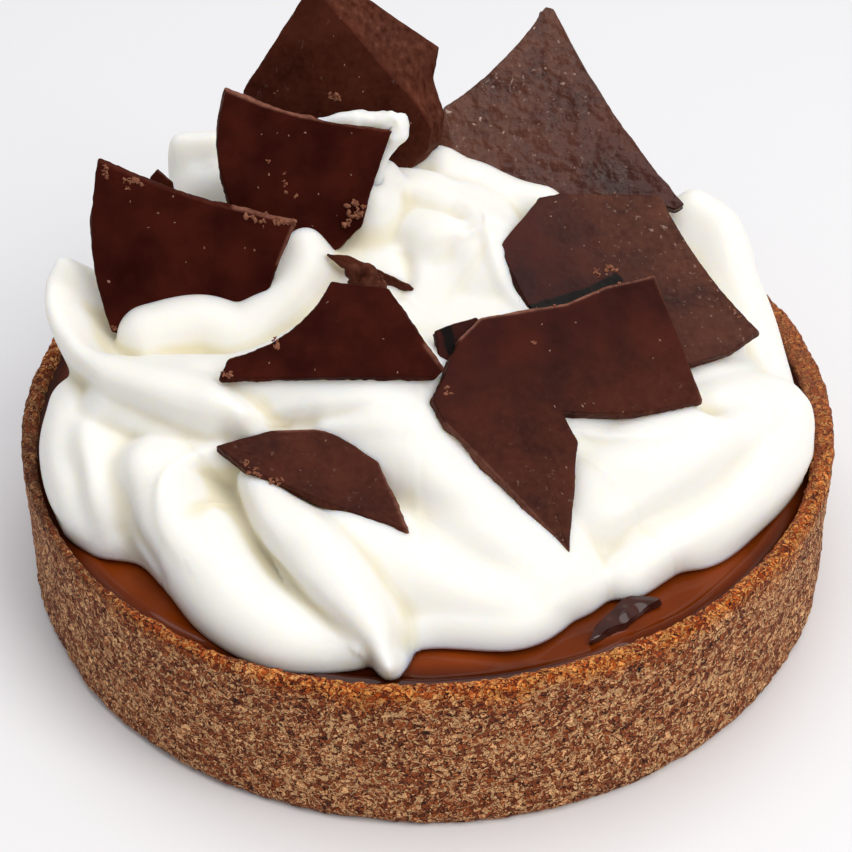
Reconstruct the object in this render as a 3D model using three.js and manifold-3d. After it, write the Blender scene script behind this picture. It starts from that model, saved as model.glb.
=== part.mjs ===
// A small banoffee pie: a straight-sided cocoa biscuit crust filled with caramel, a heap of softly folded
// cream on top and shards of dark chocolate standing and lying in the cream.
// Millimetres, +Z up. The pie stands on Z = 0 with its axis on X = Y = 0, and its front looks along -Y.
import * as THREE from "three";
import { mergeVertices } from "three/addons/utils/BufferGeometryUtils.js";
import Module from "manifold-3d";

const wasm = await Module();
wasm.setup();

// Crust: a ring tin of 100 mm, 20 mm high, lined with biscuit
const CRUST_RADIUS = 50;
const CRUST_HEIGHT = 20.7;
const WALL = 2.2;
const FLOOR = 3.2;
const FOOT_ROUND = 1.2;
const RIM_ROUND = 0.7;
const RIM_WAVE = 0.25;
const GAP = 0.3;

// The crust was pressed by hand: thinner at the left, thicker at the right, and at the front right it stands
// higher and leans in
const THIN_SIDE = { by: 1.0, centre: 212, width: 30 };
const THICK_SIDE = { by: 1.2, centre: 20, width: 25 };
const RAISED_SIDE = { lift: 0.9, lean: 0.8, centre: 290, width: 45 };

// Caramel: fills the crust to 2 mm under its rim
const CARAMEL_LEVEL = 18.7;
const CARAMEL_EDGE_RISE = 0.6;
const CARAMEL_EDGE = 1.2;

// Cream: its foot, and how far it may swell over the rim
const CREAM_FOOT = CARAMEL_LEVEL + 0.5;
const CREAM_INSET = 0.6;
const CREAM_SWELL = 0.9;
const DRIP = { reach: 1.6, x: -3.8, width: 1.0 };
const CREAM_EYE = new THREE.Vector3(0, 0, -25);
const CREAM_GRID = 62;
const BALL_STEP = 0.2;
const MISS_SLOPE = 2.5;

// Chocolate
const SHARD = 1.6;
const SHARD_THICK = 2.0;
const CHUNK = 3.8;
const CURVE_STEPS = 4;
const SHARD_CLEARANCE = 0.3;

const colours = {
  crust: new THREE.MeshStandardMaterial({ color: 0x8a5a3a, roughness: 0.95, metalness: 0 }),
  caramel: new THREE.MeshStandardMaterial({ color: 0x6b2c12, roughness: 0.2, metalness: 0 }),
  cream: new THREE.MeshStandardMaterial({ color: 0xf6f2e6, roughness: 0.5, metalness: 0 }),
  chocolate: new THREE.MeshStandardMaterial({ color: 0x3c1a12, roughness: 0.45, metalness: 0 }),
  wetChocolate: new THREE.MeshStandardMaterial({ color: 0x1e0d0e, roughness: 0.15, metalness: 0 }),
};

const group = new THREE.Group();

function addNode(name, geometry, material) {
  const mesh = new THREE.Mesh(geometry, material);
  mesh.name = name;
  group.add(mesh);
  return mesh;
}

function toSolid(geometry) {
  const plain = new THREE.BufferGeometry();
  plain.setAttribute("position", geometry.getAttribute("position").clone());
  if (geometry.index) plain.setIndex(geometry.index.clone());
  const merged = mergeVertices(plain, 1e-3);
  const vertProperties = new Float32Array(merged.getAttribute("position").array);
  const triVerts = new Uint32Array(merged.index.array);
  return new wasm.Manifold(new wasm.Mesh({ numProp: 3, vertProperties, triVerts }));
}

function toGeometry(solid) {
  const mesh = solid.getMesh();
  const geometry = new THREE.BufferGeometry();
  geometry.setAttribute("position", new THREE.BufferAttribute(new Float32Array(mesh.vertProperties), 3));
  geometry.setIndex(new THREE.BufferAttribute(new Uint32Array(mesh.triVerts), 1));
  geometry.computeVertexNormals();
  return geometry;
}

function largestBody(solid) {
  const bodies = solid.decompose();
  return bodies.reduce((best, body) => (body.volume() > best.volume() ? body : best));
}

// Turned parts: a half profile of [radius, height] pairs carried round Z
function turned(profile, segments) {
  const points = profile.map(([radius, height]) => new THREE.Vector2(radius, height));
  const geometry = new THREE.LatheGeometry(points, segments);
  geometry.rotateX(Math.PI / 2);
  return geometry;
}

// 1 at an angle round the crust, fading on both sides of it over a width, both in degrees
function bell(angle, { centre, width }) {
  const turn = angle - THREE.MathUtils.degToRad(centre);
  const off = THREE.MathUtils.radToDeg(Math.atan2(Math.sin(turn), Math.cos(turn)));
  return Math.exp(-((off / width) ** 2));
}

function wallAt(angle) {
  return WALL - THIN_SIDE.by * bell(angle, THIN_SIDE) + THICK_SIDE.by * bell(angle, THICK_SIDE);
}

function liftAt(angle) {
  return RAISED_SIDE.lift * bell(angle, RAISED_SIDE);
}

function leanAt(angle, height) {
  return RAISED_SIDE.lean * bell(angle, RAISED_SIDE) * Math.min(height / CRUST_HEIGHT, 1);
}

// The radius of the wall's inside at the caramel
function insideAt(angle) {
  return CRUST_RADIUS - leanAt(angle, CARAMEL_LEVEL) - wallAt(angle);
}

// The rim of a crust pressed by hand rises and falls a little on its way round.
function rimWave(angle) {
  return 0.5 * Math.sin(5 * angle + 0.7) + 0.3 * Math.sin(11 * angle + 2.1) + 0.2 * Math.sin(23 * angle);
}

function crustGeometry() {
  const outer = CRUST_RADIUS;
  const inner = CRUST_RADIUS - WALL;
  const top = CRUST_HEIGHT - RIM_WAVE;
  const profile = [
    [0, 0],
    [outer - FOOT_ROUND, 0],
    [outer - 0.3 * FOOT_ROUND, 0.3 * FOOT_ROUND],
    [outer, FOOT_ROUND],
    [outer, 0.5 * top],
    [outer, top - RIM_ROUND],
    [outer - 0.3 * RIM_ROUND, top - 0.3 * RIM_ROUND],
    [outer - RIM_ROUND, top],
    [inner + RIM_ROUND, top],
    [inner + 0.3 * RIM_ROUND, top - 0.3 * RIM_ROUND],
    [inner, top - RIM_ROUND],
    [inner, FLOOR],
    [0, FLOOR],
  ];
  const geometry = turned(profile, 120);
  const position = geometry.getAttribute("position");
  for (let i = 0; i < position.count; i++) {
    const angle = Math.atan2(position.getY(i), position.getX(i));
    const radius = Math.hypot(position.getX(i), position.getY(i));
    const height = position.getZ(i);
    const onWall = radius > inner - 0.1 && height > 0;
    const thinner = (outer - radius) * (1 - wallAt(angle) / WALL);
    const moved = radius + (onWall ? thinner - leanAt(angle, height) : 0);
    const wave = RIM_WAVE * THREE.MathUtils.smoothstep(height, top - 2, top) * rimWave(angle);
    const lift = liftAt(angle) * THREE.MathUtils.smoothstep(height, 0.5 * top, top);
    position.setXYZ(i, moved * Math.cos(angle), moved * Math.sin(angle), height + wave + lift);
  }
  return geometry;
}

// The caramel follows the wall and creeps up it along its edge.
function caramelGeometry() {
  const edge = CRUST_RADIUS - WALL;
  const profile = [
    [0, FLOOR + GAP],
    [edge, FLOOR + GAP],
    [edge, CARAMEL_LEVEL + CARAMEL_EDGE_RISE],
    [edge - CARAMEL_EDGE, CARAMEL_LEVEL],
    [0, CARAMEL_LEVEL],
  ];
  const geometry = turned(profile, 120);
  const position = geometry.getAttribute("position");
  for (let i = 0; i < position.count; i++) {
    const angle = Math.atan2(position.getY(i), position.getX(i));
    const share = (insideAt(angle) - GAP) / edge;
    position.setXY(i, position.getX(i) * share, position.getY(i) * share);
  }
  return geometry;
}

// Cream: every stroke of the spoon leaves a fold, a ball of changing radius swept along a curve.
// Each knot is [x, y, z, radius]; soft is how gently the fold runs into what lies under it.
const FOLDS = [
  {
    name: "foot all round",
    soft: 3,
    knots: [
      [-41, 2.5, 19.5, 3], [-43, -6.5, 20.5, 3.4], [-41.5, -14, 20, 3.4], [-37, -21.5, 19.5, 3.2],
      [-30.5, -25, 19, 3], [-25, -33, 18, 2.8], [-19, -39, 18, 2.8], [-12.5, -41, 18, 2.8],
      [-6, -39.5, 18, 2.6], [0.5, -38, 18, 2.6], [8.5, -38, 18, 2.4], [14, -35, 18, 2.4],
      [21, -29.5, 18, 2.4], [24, -25.5, 18, 2.4], [28.5, -24, 18, 2.4], [31.5, -25.5, 18, 2.4],
      [36, -21, 18.5, 2.6], [41.5, -11, 19, 3], [42.5, -6.5, 19.5, 3], [41.5, 1.5, 20, 2.8],
      [38, 12, 20, 2.8], [31.5, 25, 20, 3.2], [20, 37, 20, 3.2], [0, 42, 20, 3.2], [-20, 36, 20, 3.2],
      [-31, 26, 20, 3.2], [-37, 14, 20, 3.2], [-41, 2.5, 19.5, 3],
    ],
  },
  {
    name: "mass at the back",
    soft: 6,
    knots: [
      [33, 1, 18.5, 10], [28, 16, 21, 10.4], [17, 28, 22, 11], [0, 33, 23, 11.6], [-15, 28, 24, 12],
      [-24, 18, 22, 10.4], [-29, 6, 17, 9],
    ],
  },
  {
    name: "mass at the front",
    soft: 6,
    knots: [
      [-28, -13, 17, 10], [-18, -26, 14, 10], [0, -27, 14, 10], [14, -22, 16, 10], [24, -14, 18, 10],
      [33, -5, 19, 9.6],
    ],
  },
  {
    name: "mass in the middle",
    soft: 6,
    knots: [[-18, 8, 24, 12], [-4, 10, 25, 13], [14, 8, 24, 13]],
  },
  {
    name: "front slope",
    soft: 6,
    knots: [[-18, -8, 20, 14], [0, -8, 20, 15.6], [14, -6, 20, 14]],
  },
  {
    name: "left lobe",
    soft: 3,
    knots: [
      [-41.5, -5.5, 24.5, 4.6], [-40.5, -11, 23, 6], [-38.5, -17.5, 21.5, 6.2],
      [-36.5, -21.5, 19.5, 4.6],
    ],
  },
  {
    name: "swell beside the lobe",
    soft: 3,
    knots: [[-35.5, -12.5, 23.5, 5], [-35, -19, 22, 5]],
  },
  {
    name: "thin collar",
    soft: 1.2,
    knots: [
      [-44.5, 7.5, 37.5, 0.8], [-45.5, 5.5, 35, 1.2], [-45, 2, 33.5, 1.4], [-43, -2, 32.5, 1.6],
      [-40.5, -5.5, 32.5, 1.6], [-36.5, -8, 32.5, 1.8], [-31.5, -11, 33, 2], [-26.5, -13.5, 33.5, 2],
      [-23.5, -16, 34.5, 1.6], [-21.5, -17.5, 34.5, 1],
    ],
  },
  {
    name: "band across the middle",
    soft: 3,
    knots: [
      [-33, -7, 30, 3.6], [-25.5, -9.5, 31, 4.4], [-12.5, -11.5, 31.5, 4.6], [-2.5, -10.5, 31.5, 4.8],
      [5, -7, 27.5, 5],
    ],
  },
  {
    name: "sheet under the band",
    soft: 2,
    knots: [[-11, -15.5, 31.5, 2.4], [-6, -15.5, 31, 3], [-1.5, -15.5, 30.5, 3.4]],
  },
  {
    name: "roll inside the collar",
    soft: 2.2,
    knots: [
      [-33.5, 0, 31.5, 4.2], [-27.5, 1.5, 32, 4.6], [-22.5, 0.5, 31.5, 4.2], [-17.5, 4, 34, 4],
      [-15, 7, 37, 3.4], [-15, 8.5, 38.5, 2.8],
    ],
  },
  {
    name: "outer roll at the front left",
    soft: 3,
    knots: [
      [-25.5, -16.5, 28.5, 4], [-29, -17, 27, 4.6], [-30.5, -20, 25.5, 5.2], [-29, -24.5, 24, 5.4],
      [-25.5, -29.5, 22.5, 5.4], [-21.5, -35, 21, 5.2], [-16.5, -39, 20.5, 4.6], [-12, -40, 20, 4],
      [-8.5, -41, 20.5, 3],
    ],
  },
  {
    name: "smooth face beside the blade",
    soft: 4,
    knots: [[-9, -28, 21.5, 7], [-3.5, -29, 20, 7.6], [2.5, -30.5, 18.5, 8], [9, -33, 17.5, 7]],
  },
  {
    name: "blade that ends in a drip",
    soft: 1.6,
    knots: [
      [-20.5, -22, 27.5, 2.2], [-17.5, -27, 27, 3.2], [-13.5, -31.5, 26.5, 3.8], [-9.5, -36.5, 25, 3.6],
      [-6, -40.5, 23.5, 2.6], [-4.5, -43.5, 22.5, 1.4], [-3.5, -46, 22, 0.6],
    ],
  },
  {
    name: "ridge down the front",
    soft: 4,
    knots: [
      [-6, -15, 28.5, 5], [-2.5, -17, 27, 6], [3, -20.5, 24.5, 6.4], [10, -25.5, 21, 6.2],
      [15, -30, 19.5, 5],
    ],
  },
  {
    name: "lip at the right",
    soft: 3,
    knots: [
      [23, -29, 19, 3.4], [26.5, -25.5, 20, 3.8], [32.5, -21, 20.5, 4.2], [38.5, -15.5, 21, 4.2],
      [43, -10, 22, 3.4], [43, -6.5, 23.5, 2.6],
    ],
  },
  {
    name: "fold at the right",
    soft: 4,
    knots: [[21, -19.5, 21, 6.4], [26.5, -15.5, 22.5, 7.4], [34.5, -10.5, 22.5, 7.4], [41.5, -5, 23, 5]],
  },
  {
    name: "tower at the back left",
    soft: 1.2,
    knots: [[-31, 24.5, 42.5, 1.6], [-30, 24, 39.5, 2.8], [-27, 21.5, 37, 5.4]],
  },
  {
    name: "crest of the tower",
    soft: 0.8,
    knots: [[-26, 25, 41.5, 2.2], [-25.5, 24, 39, 3.4]],
  },
  {
    name: "cream behind the upper left shard",
    soft: 2,
    knots: [[-5.5, 18, 42.5, 2.2], [-7, 16, 39.5, 4]],
  },
  {
    name: "top lump",
    soft: 2,
    knots: [[1, 25, 40, 2.6], [4, 23, 38.5, 3.6], [9, 20.5, 37.5, 3.8], [14, 18, 37.5, 3.4]],
  },
  {
    name: "top ridge",
    soft: 1.5,
    knots: [[-4.5, 20, 40, 3.4], [0, 17.5, 39, 3.4], [3.5, 15, 38.5, 2.6]],
  },
  {
    name: "block cut by the spoon",
    soft: 0.8,
    knots: [[1.5, 13.5, 33, 8], [5, 14, 33.5, 8], [7, 9.5, 31.5, 8], [2.5, 9.5, 30, 8]],
  },
  {
    name: "edge at the back right",
    soft: 2.5,
    knots: [
      [33.5, 21.5, 34.5, 3], [36, 20, 33, 3.4], [37, 18, 31, 3.8], [38, 14.5, 28.5, 3.8],
      [40, 9.5, 25, 3.8], [41.5, 3.5, 22, 3.6], [42, 0, 21.5, 3.2],
    ],
  },
  {
    name: "bed of the middle shard",
    soft: 4,
    knots: [[-18, -9, 31, 5], [-9, -5.5, 34, 5.2], [-2, -9, 31, 4.4]],
  },
  {
    name: "bed of the right shard",
    soft: 4,
    knots: [[18, 14, 33, 5.2], [25, 10, 31, 5.2], [33, 4, 26.5, 5]],
  },
  {
    name: "bed of the back right shard",
    soft: 4,
    knots: [[4, 27, 33, 5], [14, 29, 33, 5], [22, 23, 31.5, 5]],
  },
  {
    name: "bed of the tall shard",
    soft: 4,
    knots: [[-20, 26, 34, 5], [-8, 25, 34.5, 5]],
  },
  {
    name: "first fold of the back",
    soft: 2.5,
    knots: [[-33, 17, 26, 5], [-24, 29, 25, 5.6], [-9, 38, 22, 5]],
  },
  {
    name: "second fold of the back",
    soft: 2.5,
    knots: [[-12, 31, 31, 5.6], [4, 36, 27, 5.6], [17, 37, 22, 4.4]],
  },
  {
    name: "third fold of the back",
    soft: 2.5,
    knots: [[16, 31, 31, 5], [27, 27, 26, 5], [36, 17, 22.5, 4.4]],
  },
  {
    name: "collar foot",
    soft: 3,
    knots: [[-36.5, -8.5, 29.5, 4.4], [-30.5, -11.5, 30, 4.6], [-25, -14.5, 31.5, 3.4]],
  },
];

// The last pull of the spoon drew the cream out into a thin curl behind the upper left shard.
const CURL = [
  [-13.0, 19.0, 50.1, 0.4],
  [-9.3, 19.0, 50.4, 0.7],
  [-6.1, 19.0, 50.6, 1.0],
  [-3.7, 18.6, 50.3, 1.4],
  [-3.8, 18.0, 48.5, 1.1],
  [-5.1, 17.2, 46.7, 1.2],
  [-6.0, 16.2, 44.5, 1.7],
];
const CURL_STEPS = 2;
const CURL_FACETS = 12;

// A smooth curve through the knots, cut so finely that neighbouring balls melt into one skin
function sweptBalls(knots) {
  const last = knots.length - 1;
  const before = knots[0].map((v, axis) => 2 * v - knots[1][axis]);
  const after = knots[last].map((v, axis) => 2 * v - knots[last - 1][axis]);
  const all = [before, ...knots, after];
  const balls = [];
  for (let i = 1; i <= last; i++) {
    const [a, b, c, d] = [all[i - 1], all[i], all[i + 1], all[i + 2]];
    const length = Math.hypot(c[0] - b[0], c[1] - b[1], c[2] - b[2]);
    const steps = Math.ceil(length / (BALL_STEP * Math.min(b[3], c[3])));
    for (let s = 0; s < steps; s++) {
      const t = s / steps;
      const ball = b.map(
        (v, axis) =>
          0.5 *
          (2 * v +
            (c[axis] - a[axis]) * t +
            (2 * a[axis] - 5 * v + 4 * c[axis] - d[axis]) * t * t +
            (3 * v - a[axis] - 3 * c[axis] + d[axis]) * t * t * t),
      );
      balls.push(ball);
    }
  }
  balls.push(knots[last]);
  return balls.map(([x, y, z, radius]) => ({
    centre: new THREE.Vector3(x, y, z).sub(CREAM_EYE),
    radius,
  }));
}

const sweptFolds = FOLDS.map(({ soft, knots }) => ({ soft, balls: sweptBalls(knots) }));

// How far from the eye under the pie a ray leaves the swept ball, or falls away where it misses
function foldReach(ray, balls) {
  let best = -1e6;
  for (const { centre, radius } of balls) {
    const along = ray.dot(centre);
    const away = Math.sqrt(Math.max(centre.lengthSq() - along * along, 0));
    const skin = Math.sqrt(Math.max(radius * radius - away * away, 0));
    const reach = along + skin - MISS_SLOPE * Math.max(away - radius, 0);
    best = Math.max(best, reach);
  }
  return best;
}

function softMax(a, b, soft) {
  const overlap = Math.max(soft - Math.abs(a - b), 0);
  return Math.max(a, b) + (overlap * overlap) / (4 * soft);
}

function creamRay(angle, lean) {
  const out = Math.sin(lean);
  return new THREE.Vector3(Math.cos(angle) * out, Math.sin(angle) * out, Math.cos(lean));
}

function creamReach(ray) {
  return sweptFolds.reduce((far, { soft, balls }) => softMax(far, foldReach(ray, balls), soft), 0);
}

function creamHeight(angle, lean) {
  const ray = creamRay(angle, lean);
  return CREAM_EYE.z + ray.z * creamReach(ray);
}

// The lean of the ray that meets the caramel, for each of a ring of directions
function footLeans(count) {
  const leans = [];
  const steepest = THREE.MathUtils.degToRad(56);
  const step = THREE.MathUtils.degToRad(0.5);
  for (let i = 0; i < count; i++) {
    const angle = (2 * Math.PI * i) / count;
    let lean = steepest;
    let below = creamHeight(angle, lean);
    let above = below;
    while (above < CREAM_FOOT) {
      below = above;
      lean -= step;
      above = creamHeight(angle, lean);
    }
    leans.push(lean + (step * (above - CREAM_FOOT)) / Math.max(above - below, 1e-6));
  }
  return leans;
}

function footLeanAt(leans, angle) {
  const turn = ((angle / (2 * Math.PI)) % 1) + 1;
  const place = (turn % 1) * leans.length;
  const i = Math.floor(place) % leans.length;
  return THREE.MathUtils.lerp(leans[i], leans[(i + 1) % leans.length], place - Math.floor(place));
}

// A square grid laid on the disc of rays, so that no facets crowd round a pole
function discPlace(u, v) {
  if (u === 0 && v === 0) return { share: 0, angle: 0 };
  if (Math.abs(u) > Math.abs(v)) {
    return { share: Math.abs(u), angle: (Math.PI / 4) * (v / u) + (u > 0 ? 0 : Math.PI) };
  }
  return { share: Math.abs(v), angle: (v > 0 ? 0.5 : 1.5) * Math.PI - (Math.PI / 4) * (u / v) };
}

// Below the rim the cream stays inside the wall, above it the cream may swell a little over the edge.
function keptInsideRim(point) {
  const angle = Math.atan2(point.y, point.x);
  const rim = CRUST_HEIGHT + liftAt(angle);
  const above = THREE.MathUtils.smoothstep(point.z, rim + 0.1, rim + 1.5);
  const drip = point.y < 0 ? DRIP.reach * Math.exp(-(((point.x - DRIP.x) / DRIP.width) ** 2)) : 0;
  const limit = insideAt(angle) - CREAM_INSET + (CREAM_SWELL + drip) * above;
  const shrink = Math.min(1, limit / Math.max(Math.hypot(point.x, point.y), 1e-6));
  return [point.x * shrink, point.y * shrink, Math.max(point.z, CREAM_FOOT)];
}

// Each value of a square grid mixed with its eight neighbours, weighted 1, 2, 1 both ways
function mixedWithNeighbours(values, size) {
  const inside = (i) => THREE.MathUtils.clamp(i, 0, size - 1);
  return values.map((_, k) => {
    const i = Math.floor(k / size);
    const j = k % size;
    let sum = 0;
    for (const across of [-1, 0, 1]) {
      for (const along of [-1, 0, 1]) {
        const weight = ((2 - Math.abs(across)) * (2 - Math.abs(along))) / 16;
        sum += weight * values[inside(i + across) * size + inside(j + along)];
      }
    }
    return sum;
  });
}

function creamGeometry() {
  const leans = footLeans(180);
  const size = CREAM_GRID;
  const rays = [];
  for (let i = 0; i < size; i++) {
    for (let j = 0; j < size; j++) {
      const { share, angle } = discPlace((2 * i) / (size - 1) - 1, (2 * j) / (size - 1) - 1);
      rays.push(creamRay(angle, share * footLeanAt(leans, angle)));
    }
  }
  const reaches = mixedWithNeighbours(rays.map(creamReach), size);
  const positions = rays.flatMap((ray, k) => {
    const i = Math.floor(k / size);
    const j = k % size;
    const point = ray.multiplyScalar(reaches[k]).add(CREAM_EYE);
    if (i === 0 || j === 0 || i === size - 1 || j === size - 1) point.z = CREAM_FOOT;
    return keptInsideRim(point);
  });
  const centre = size * size;
  positions.push(0, 0, CREAM_FOOT);
  const at = (i, j) => i * size + j;
  const faces = [];
  for (let i = 0; i < size - 1; i++) {
    for (let j = 0; j < size - 1; j++) {
      const corners = [at(i, j), at(i + 1, j), at(i + 1, j + 1), at(i, j + 1)];
      const alike = (i - (size - 2) / 2) * (j - (size - 2) / 2) >= 0;
      const [a, b, c, d] = alike ? corners : [corners[1], corners[2], corners[3], corners[0]];
      faces.push(a, b, c, a, c, d);
    }
  }
  for (let s = 0; s < size - 1; s++) {
    faces.push(at(s + 1, 0), at(s, 0), centre);
    faces.push(at(size - 1, s + 1), at(size - 1, s), centre);
    faces.push(at(s, size - 1), at(s + 1, size - 1), centre);
    faces.push(at(0, s), at(0, s + 1), centre);
  }
  const geometry = new THREE.BufferGeometry();
  geometry.setAttribute("position", new THREE.Float32BufferAttribute(positions, 3));
  geometry.setIndex(faces);
  return geometry;
}

// The curl: balls on a smooth curve, each joined to the next by the hull of both
function curlSolid() {
  const path = new THREE.CatmullRomCurve3(CURL.map(([x, y, z]) => new THREE.Vector3(x, y, z)));
  const count = CURL_STEPS * (CURL.length - 1);
  const balls = [];
  for (let i = 0; i <= count; i++) {
    const place = i / CURL_STEPS;
    const knot = Math.min(Math.floor(place), CURL.length - 2);
    const radius = THREE.MathUtils.lerp(CURL[knot][3], CURL[knot + 1][3], place - knot);
    const centre = path.getPoint(i / count);
    balls.push(wasm.Manifold.sphere(radius, CURL_FACETS).translate([centre.x, centre.y, centre.z]));
  }
  const joints = balls.slice(1).map((ball, i) => wasm.Manifold.hull([balls[i], ball]));
  return wasm.Manifold.union(joints);
}

// Chocolate shards: a flat slab broken along straight or gently bowed edges.
// Each corner is [x, y] on the slab, or [x, y, bow] where the edge to the next corner bows sideways.
// turn is where the face looks (0 is the front, positive to the right) and lift how far up it looks.
const SHARDS = [
  {
    name: "shard_upper_left",
    centre: [-14.1, 12.2, 46.7],
    turn: 13,
    lift: 25,
    corners: [
      [-9, 11.8, -1],
      [10.5, 4.2, -0.2],
      [5.5, -7],
      [2.7, -9.2],
      [-0.4, -10.6],
      [-7.6, -9.1],
      [-10.1, -2.3, 1.4],
    ],
  },
  {
    name: "shard_left",
    centre: [-27.4, 3.7, 41.1],
    turn: -1,
    lift: 20,
    corners: [
      [-11.7, 11.6, -0.9],
      [11.6, 4.3],
      [7.4, -6.2],
      [5.9, -9.1],
      [-3.1, -11.7],
      [-10.9, -9.9, 1.6],
    ],
  },
  {
    name: "shard_middle",
    centre: [-11.2, -9.4, 40.2],
    turn: -2,
    lift: 54,
    corners: [
      [-12.8, -6.1],
      [-11.8, -3.6, -1.9],
      [-0.3, 6],
      [6.4, 5.3],
      [13, -4.1],
      [12, -5.3],
    ],
  },
  {
    name: "shard_back_right",
    centre: [16, 30.3, 44.6],
    turn: -9,
    lift: 58,
    corners: [
      [-2.2, 14.1, -1],
      [17.6, -11.6],
      [16.5, -12.4],
      [12.8, -11.8],
      [2.6, -12.8],
      [-8.2, -10.9],
      [-15, -7.5],
      [-13.9, -1.5, -0.6],
    ],
  },
  {
    name: "shard_right",
    centre: [24.4, 5.8, 36.2],
    turn: 21,
    lift: 64,
    corners: [
      [-7, 13.3],
      [-4, 13.2],
      [8.1, 9.8, -1.1],
      [13.3, -10.8],
      [8.6, -12.6],
      [3.3, -12.9],
      [-8.9, -10],
      [-13.5, -0.4],
      [-14.3, 8],
    ],
  },
  {
    name: "shard_front_right",
    centre: [16.5, -14.6, 32.7],
    turn: 24,
    lift: 61,
    thickness: SHARD_THICK,
    corners: [
      [-9.4, 12.1],
      [-6, 13.9],
      [4.8, 12.7],
      [10.4, 13.4],
      [16.8, 13.1],
      [16.1, -3.7, 0.8],
      [-0.9, -0.1],
      [-0.6, -4.1],
      [-6.8, -16.5],
      [-15, 2.4],
      [-15.3, 5.7],
    ],
  },
  {
    name: "shard_front_left",
    centre: [-13.4, -23.8, 30.1],
    turn: 9,
    lift: 73,
    corners: [
      [-10.3, 5.7],
      [-3.8, 7],
      [1.1, 6.7],
      [5.4, 5.3],
      [7.6, 3.8],
      [10, -8.2, 0.3],
      [-1.5, -1.6],
      [-7.2, 2],
    ],
  },
  {
    name: "shard_sliver",
    centre: [-7, 4.5, 38.1],
    turn: 10,
    lift: 45,
    corners: [
      [-5, 2.8],
      [-2.4, 2.4],
      [5.2, -2.6],
      [4.9, -3.1],
      [-1.8, 0.3],
      [-3.4, 1.1],
    ],
  },
  {
    name: "shard_underneath",
    centre: [4, -7.4, 36.7],
    turn: 24,
    lift: 61,
    corners: [
      [-2.6, 2.5],
      [2.9, 2.8],
      [4.8, -0.3],
      [0, -3.8],
      [-3.7, -2.2],
    ],
  },
  {
    name: "shard_tip",
    centre: [-32.3, 13, 44.6],
    turn: 0,
    lift: 30,
    corners: [
      [-1.6, 1],
      [-0.7, 2.2],
      [1.2, 0.5],
      [1.6, -2.3],
      [-1.3, -1.7],
    ],
  },
];

// The tall shard at the back is a thick chunk: its broken right side slopes out to a larger back.
const TALL_CHUNK = {
  name: "shard_tall_back",
  centre: [-11.4, 26.1, 49.5],
  turn: -11,
  lift: 15,
  thickness: CHUNK,
  corners: [
    [-3.7, 13.6],
    [-12, -1.1],
    [-11.3, -11],
    [-0.3, -13.7],
    [8.5, -10.6],
    [12, -6.2],
    [12.2, -3.3],
    [9.8, 0.2],
    [5.7, 4],
    [1.5, 8.4],
  ],
  backCorners: [
    [0, 13],
    [-12, -1],
    [-11.5, -12.4],
    [-1.1, -15.2],
    [8.5, -12],
    [12.7, -7.5],
    [13.2, -2.6],
    [11.6, 1.9],
    [12.2, 6],
    [6.4, 9.2],
  ],
};

// The corners with every bowed edge cut into a few straight steps, counter-clockwise
function brokenOutline(corners) {
  const points = [];
  corners.forEach(([x, y, bow = 0], i) => {
    const next = corners[(i + 1) % corners.length];
    const along = new THREE.Vector2(next[0] - x, next[1] - y);
    const side = new THREE.Vector2(-along.y, along.x).normalize();
    const steps = bow === 0 ? 1 : CURVE_STEPS;
    for (let s = 0; s < steps; s++) {
      const t = s / steps;
      const swing = 4 * bow * t * (1 - t);
      points.push(new THREE.Vector2(x + along.x * t + side.x * swing, y + along.y * t + side.y * swing));
    }
  });
  return THREE.ShapeUtils.isClockWise(points) ? points.reverse() : points;
}

// The outline moved outwards by the same distance on every side
function grownOutline(points, distance) {
  return points.map((point, i) => {
    const before = points[(i + points.length - 1) % points.length];
    const after = points[(i + 1) % points.length];
    const into = point.clone().sub(before).normalize();
    const out = after.clone().sub(point).normalize();
    const normal = new THREE.Vector2(into.y + out.y, -into.x - out.x).normalize();
    const stretch = Math.max(normal.x * out.y - normal.y * out.x, 0.5);
    return point.clone().addScaledVector(normal, distance / stretch);
  });
}

function slabGeometry(front, back, frontHeight, backHeight) {
  const count = front.length;
  const positions = [];
  front.forEach((p) => positions.push(p.x, p.y, frontHeight));
  back.forEach((p) => positions.push(p.x, p.y, backHeight));
  const faces = [];
  THREE.ShapeUtils.triangulateShape(front, []).forEach(([a, b, c]) => faces.push(a, b, c));
  const backFaces = THREE.ShapeUtils.triangulateShape(back, []);
  backFaces.forEach(([a, b, c]) => faces.push(count + c, count + b, count + a));
  for (let i = 0; i < count; i++) {
    const next = (i + 1) % count;
    faces.push(i, count + i, next);
    faces.push(next, count + i, count + next);
  }
  const geometry = new THREE.BufferGeometry();
  geometry.setAttribute("position", new THREE.Float32BufferAttribute(positions, 3));
  geometry.setIndex(faces);
  return geometry;
}

function shardPlace({ centre, turn, lift }) {
  const [t, l] = [THREE.MathUtils.degToRad(turn), THREE.MathUtils.degToRad(lift)];
  const across = new THREE.Vector3(Math.cos(t), Math.sin(t), 0);
  const out = new THREE.Vector3(Math.sin(t) * Math.cos(l), -Math.cos(t) * Math.cos(l), Math.sin(l));
  const up = new THREE.Vector3().crossVectors(out, across);
  return new THREE.Matrix4().makeBasis(across, up, out).setPosition(...centre);
}

function shardGeometry(shard, clearance) {
  const thickness = shard.thickness ?? SHARD;
  const front = grownOutline(brokenOutline(shard.corners), clearance);
  const back = grownOutline(brokenOutline(shard.backCorners ?? shard.corners), clearance);
  return slabGeometry(front, back, clearance, -thickness - clearance).applyMatrix4(shardPlace(shard));
}

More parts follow.
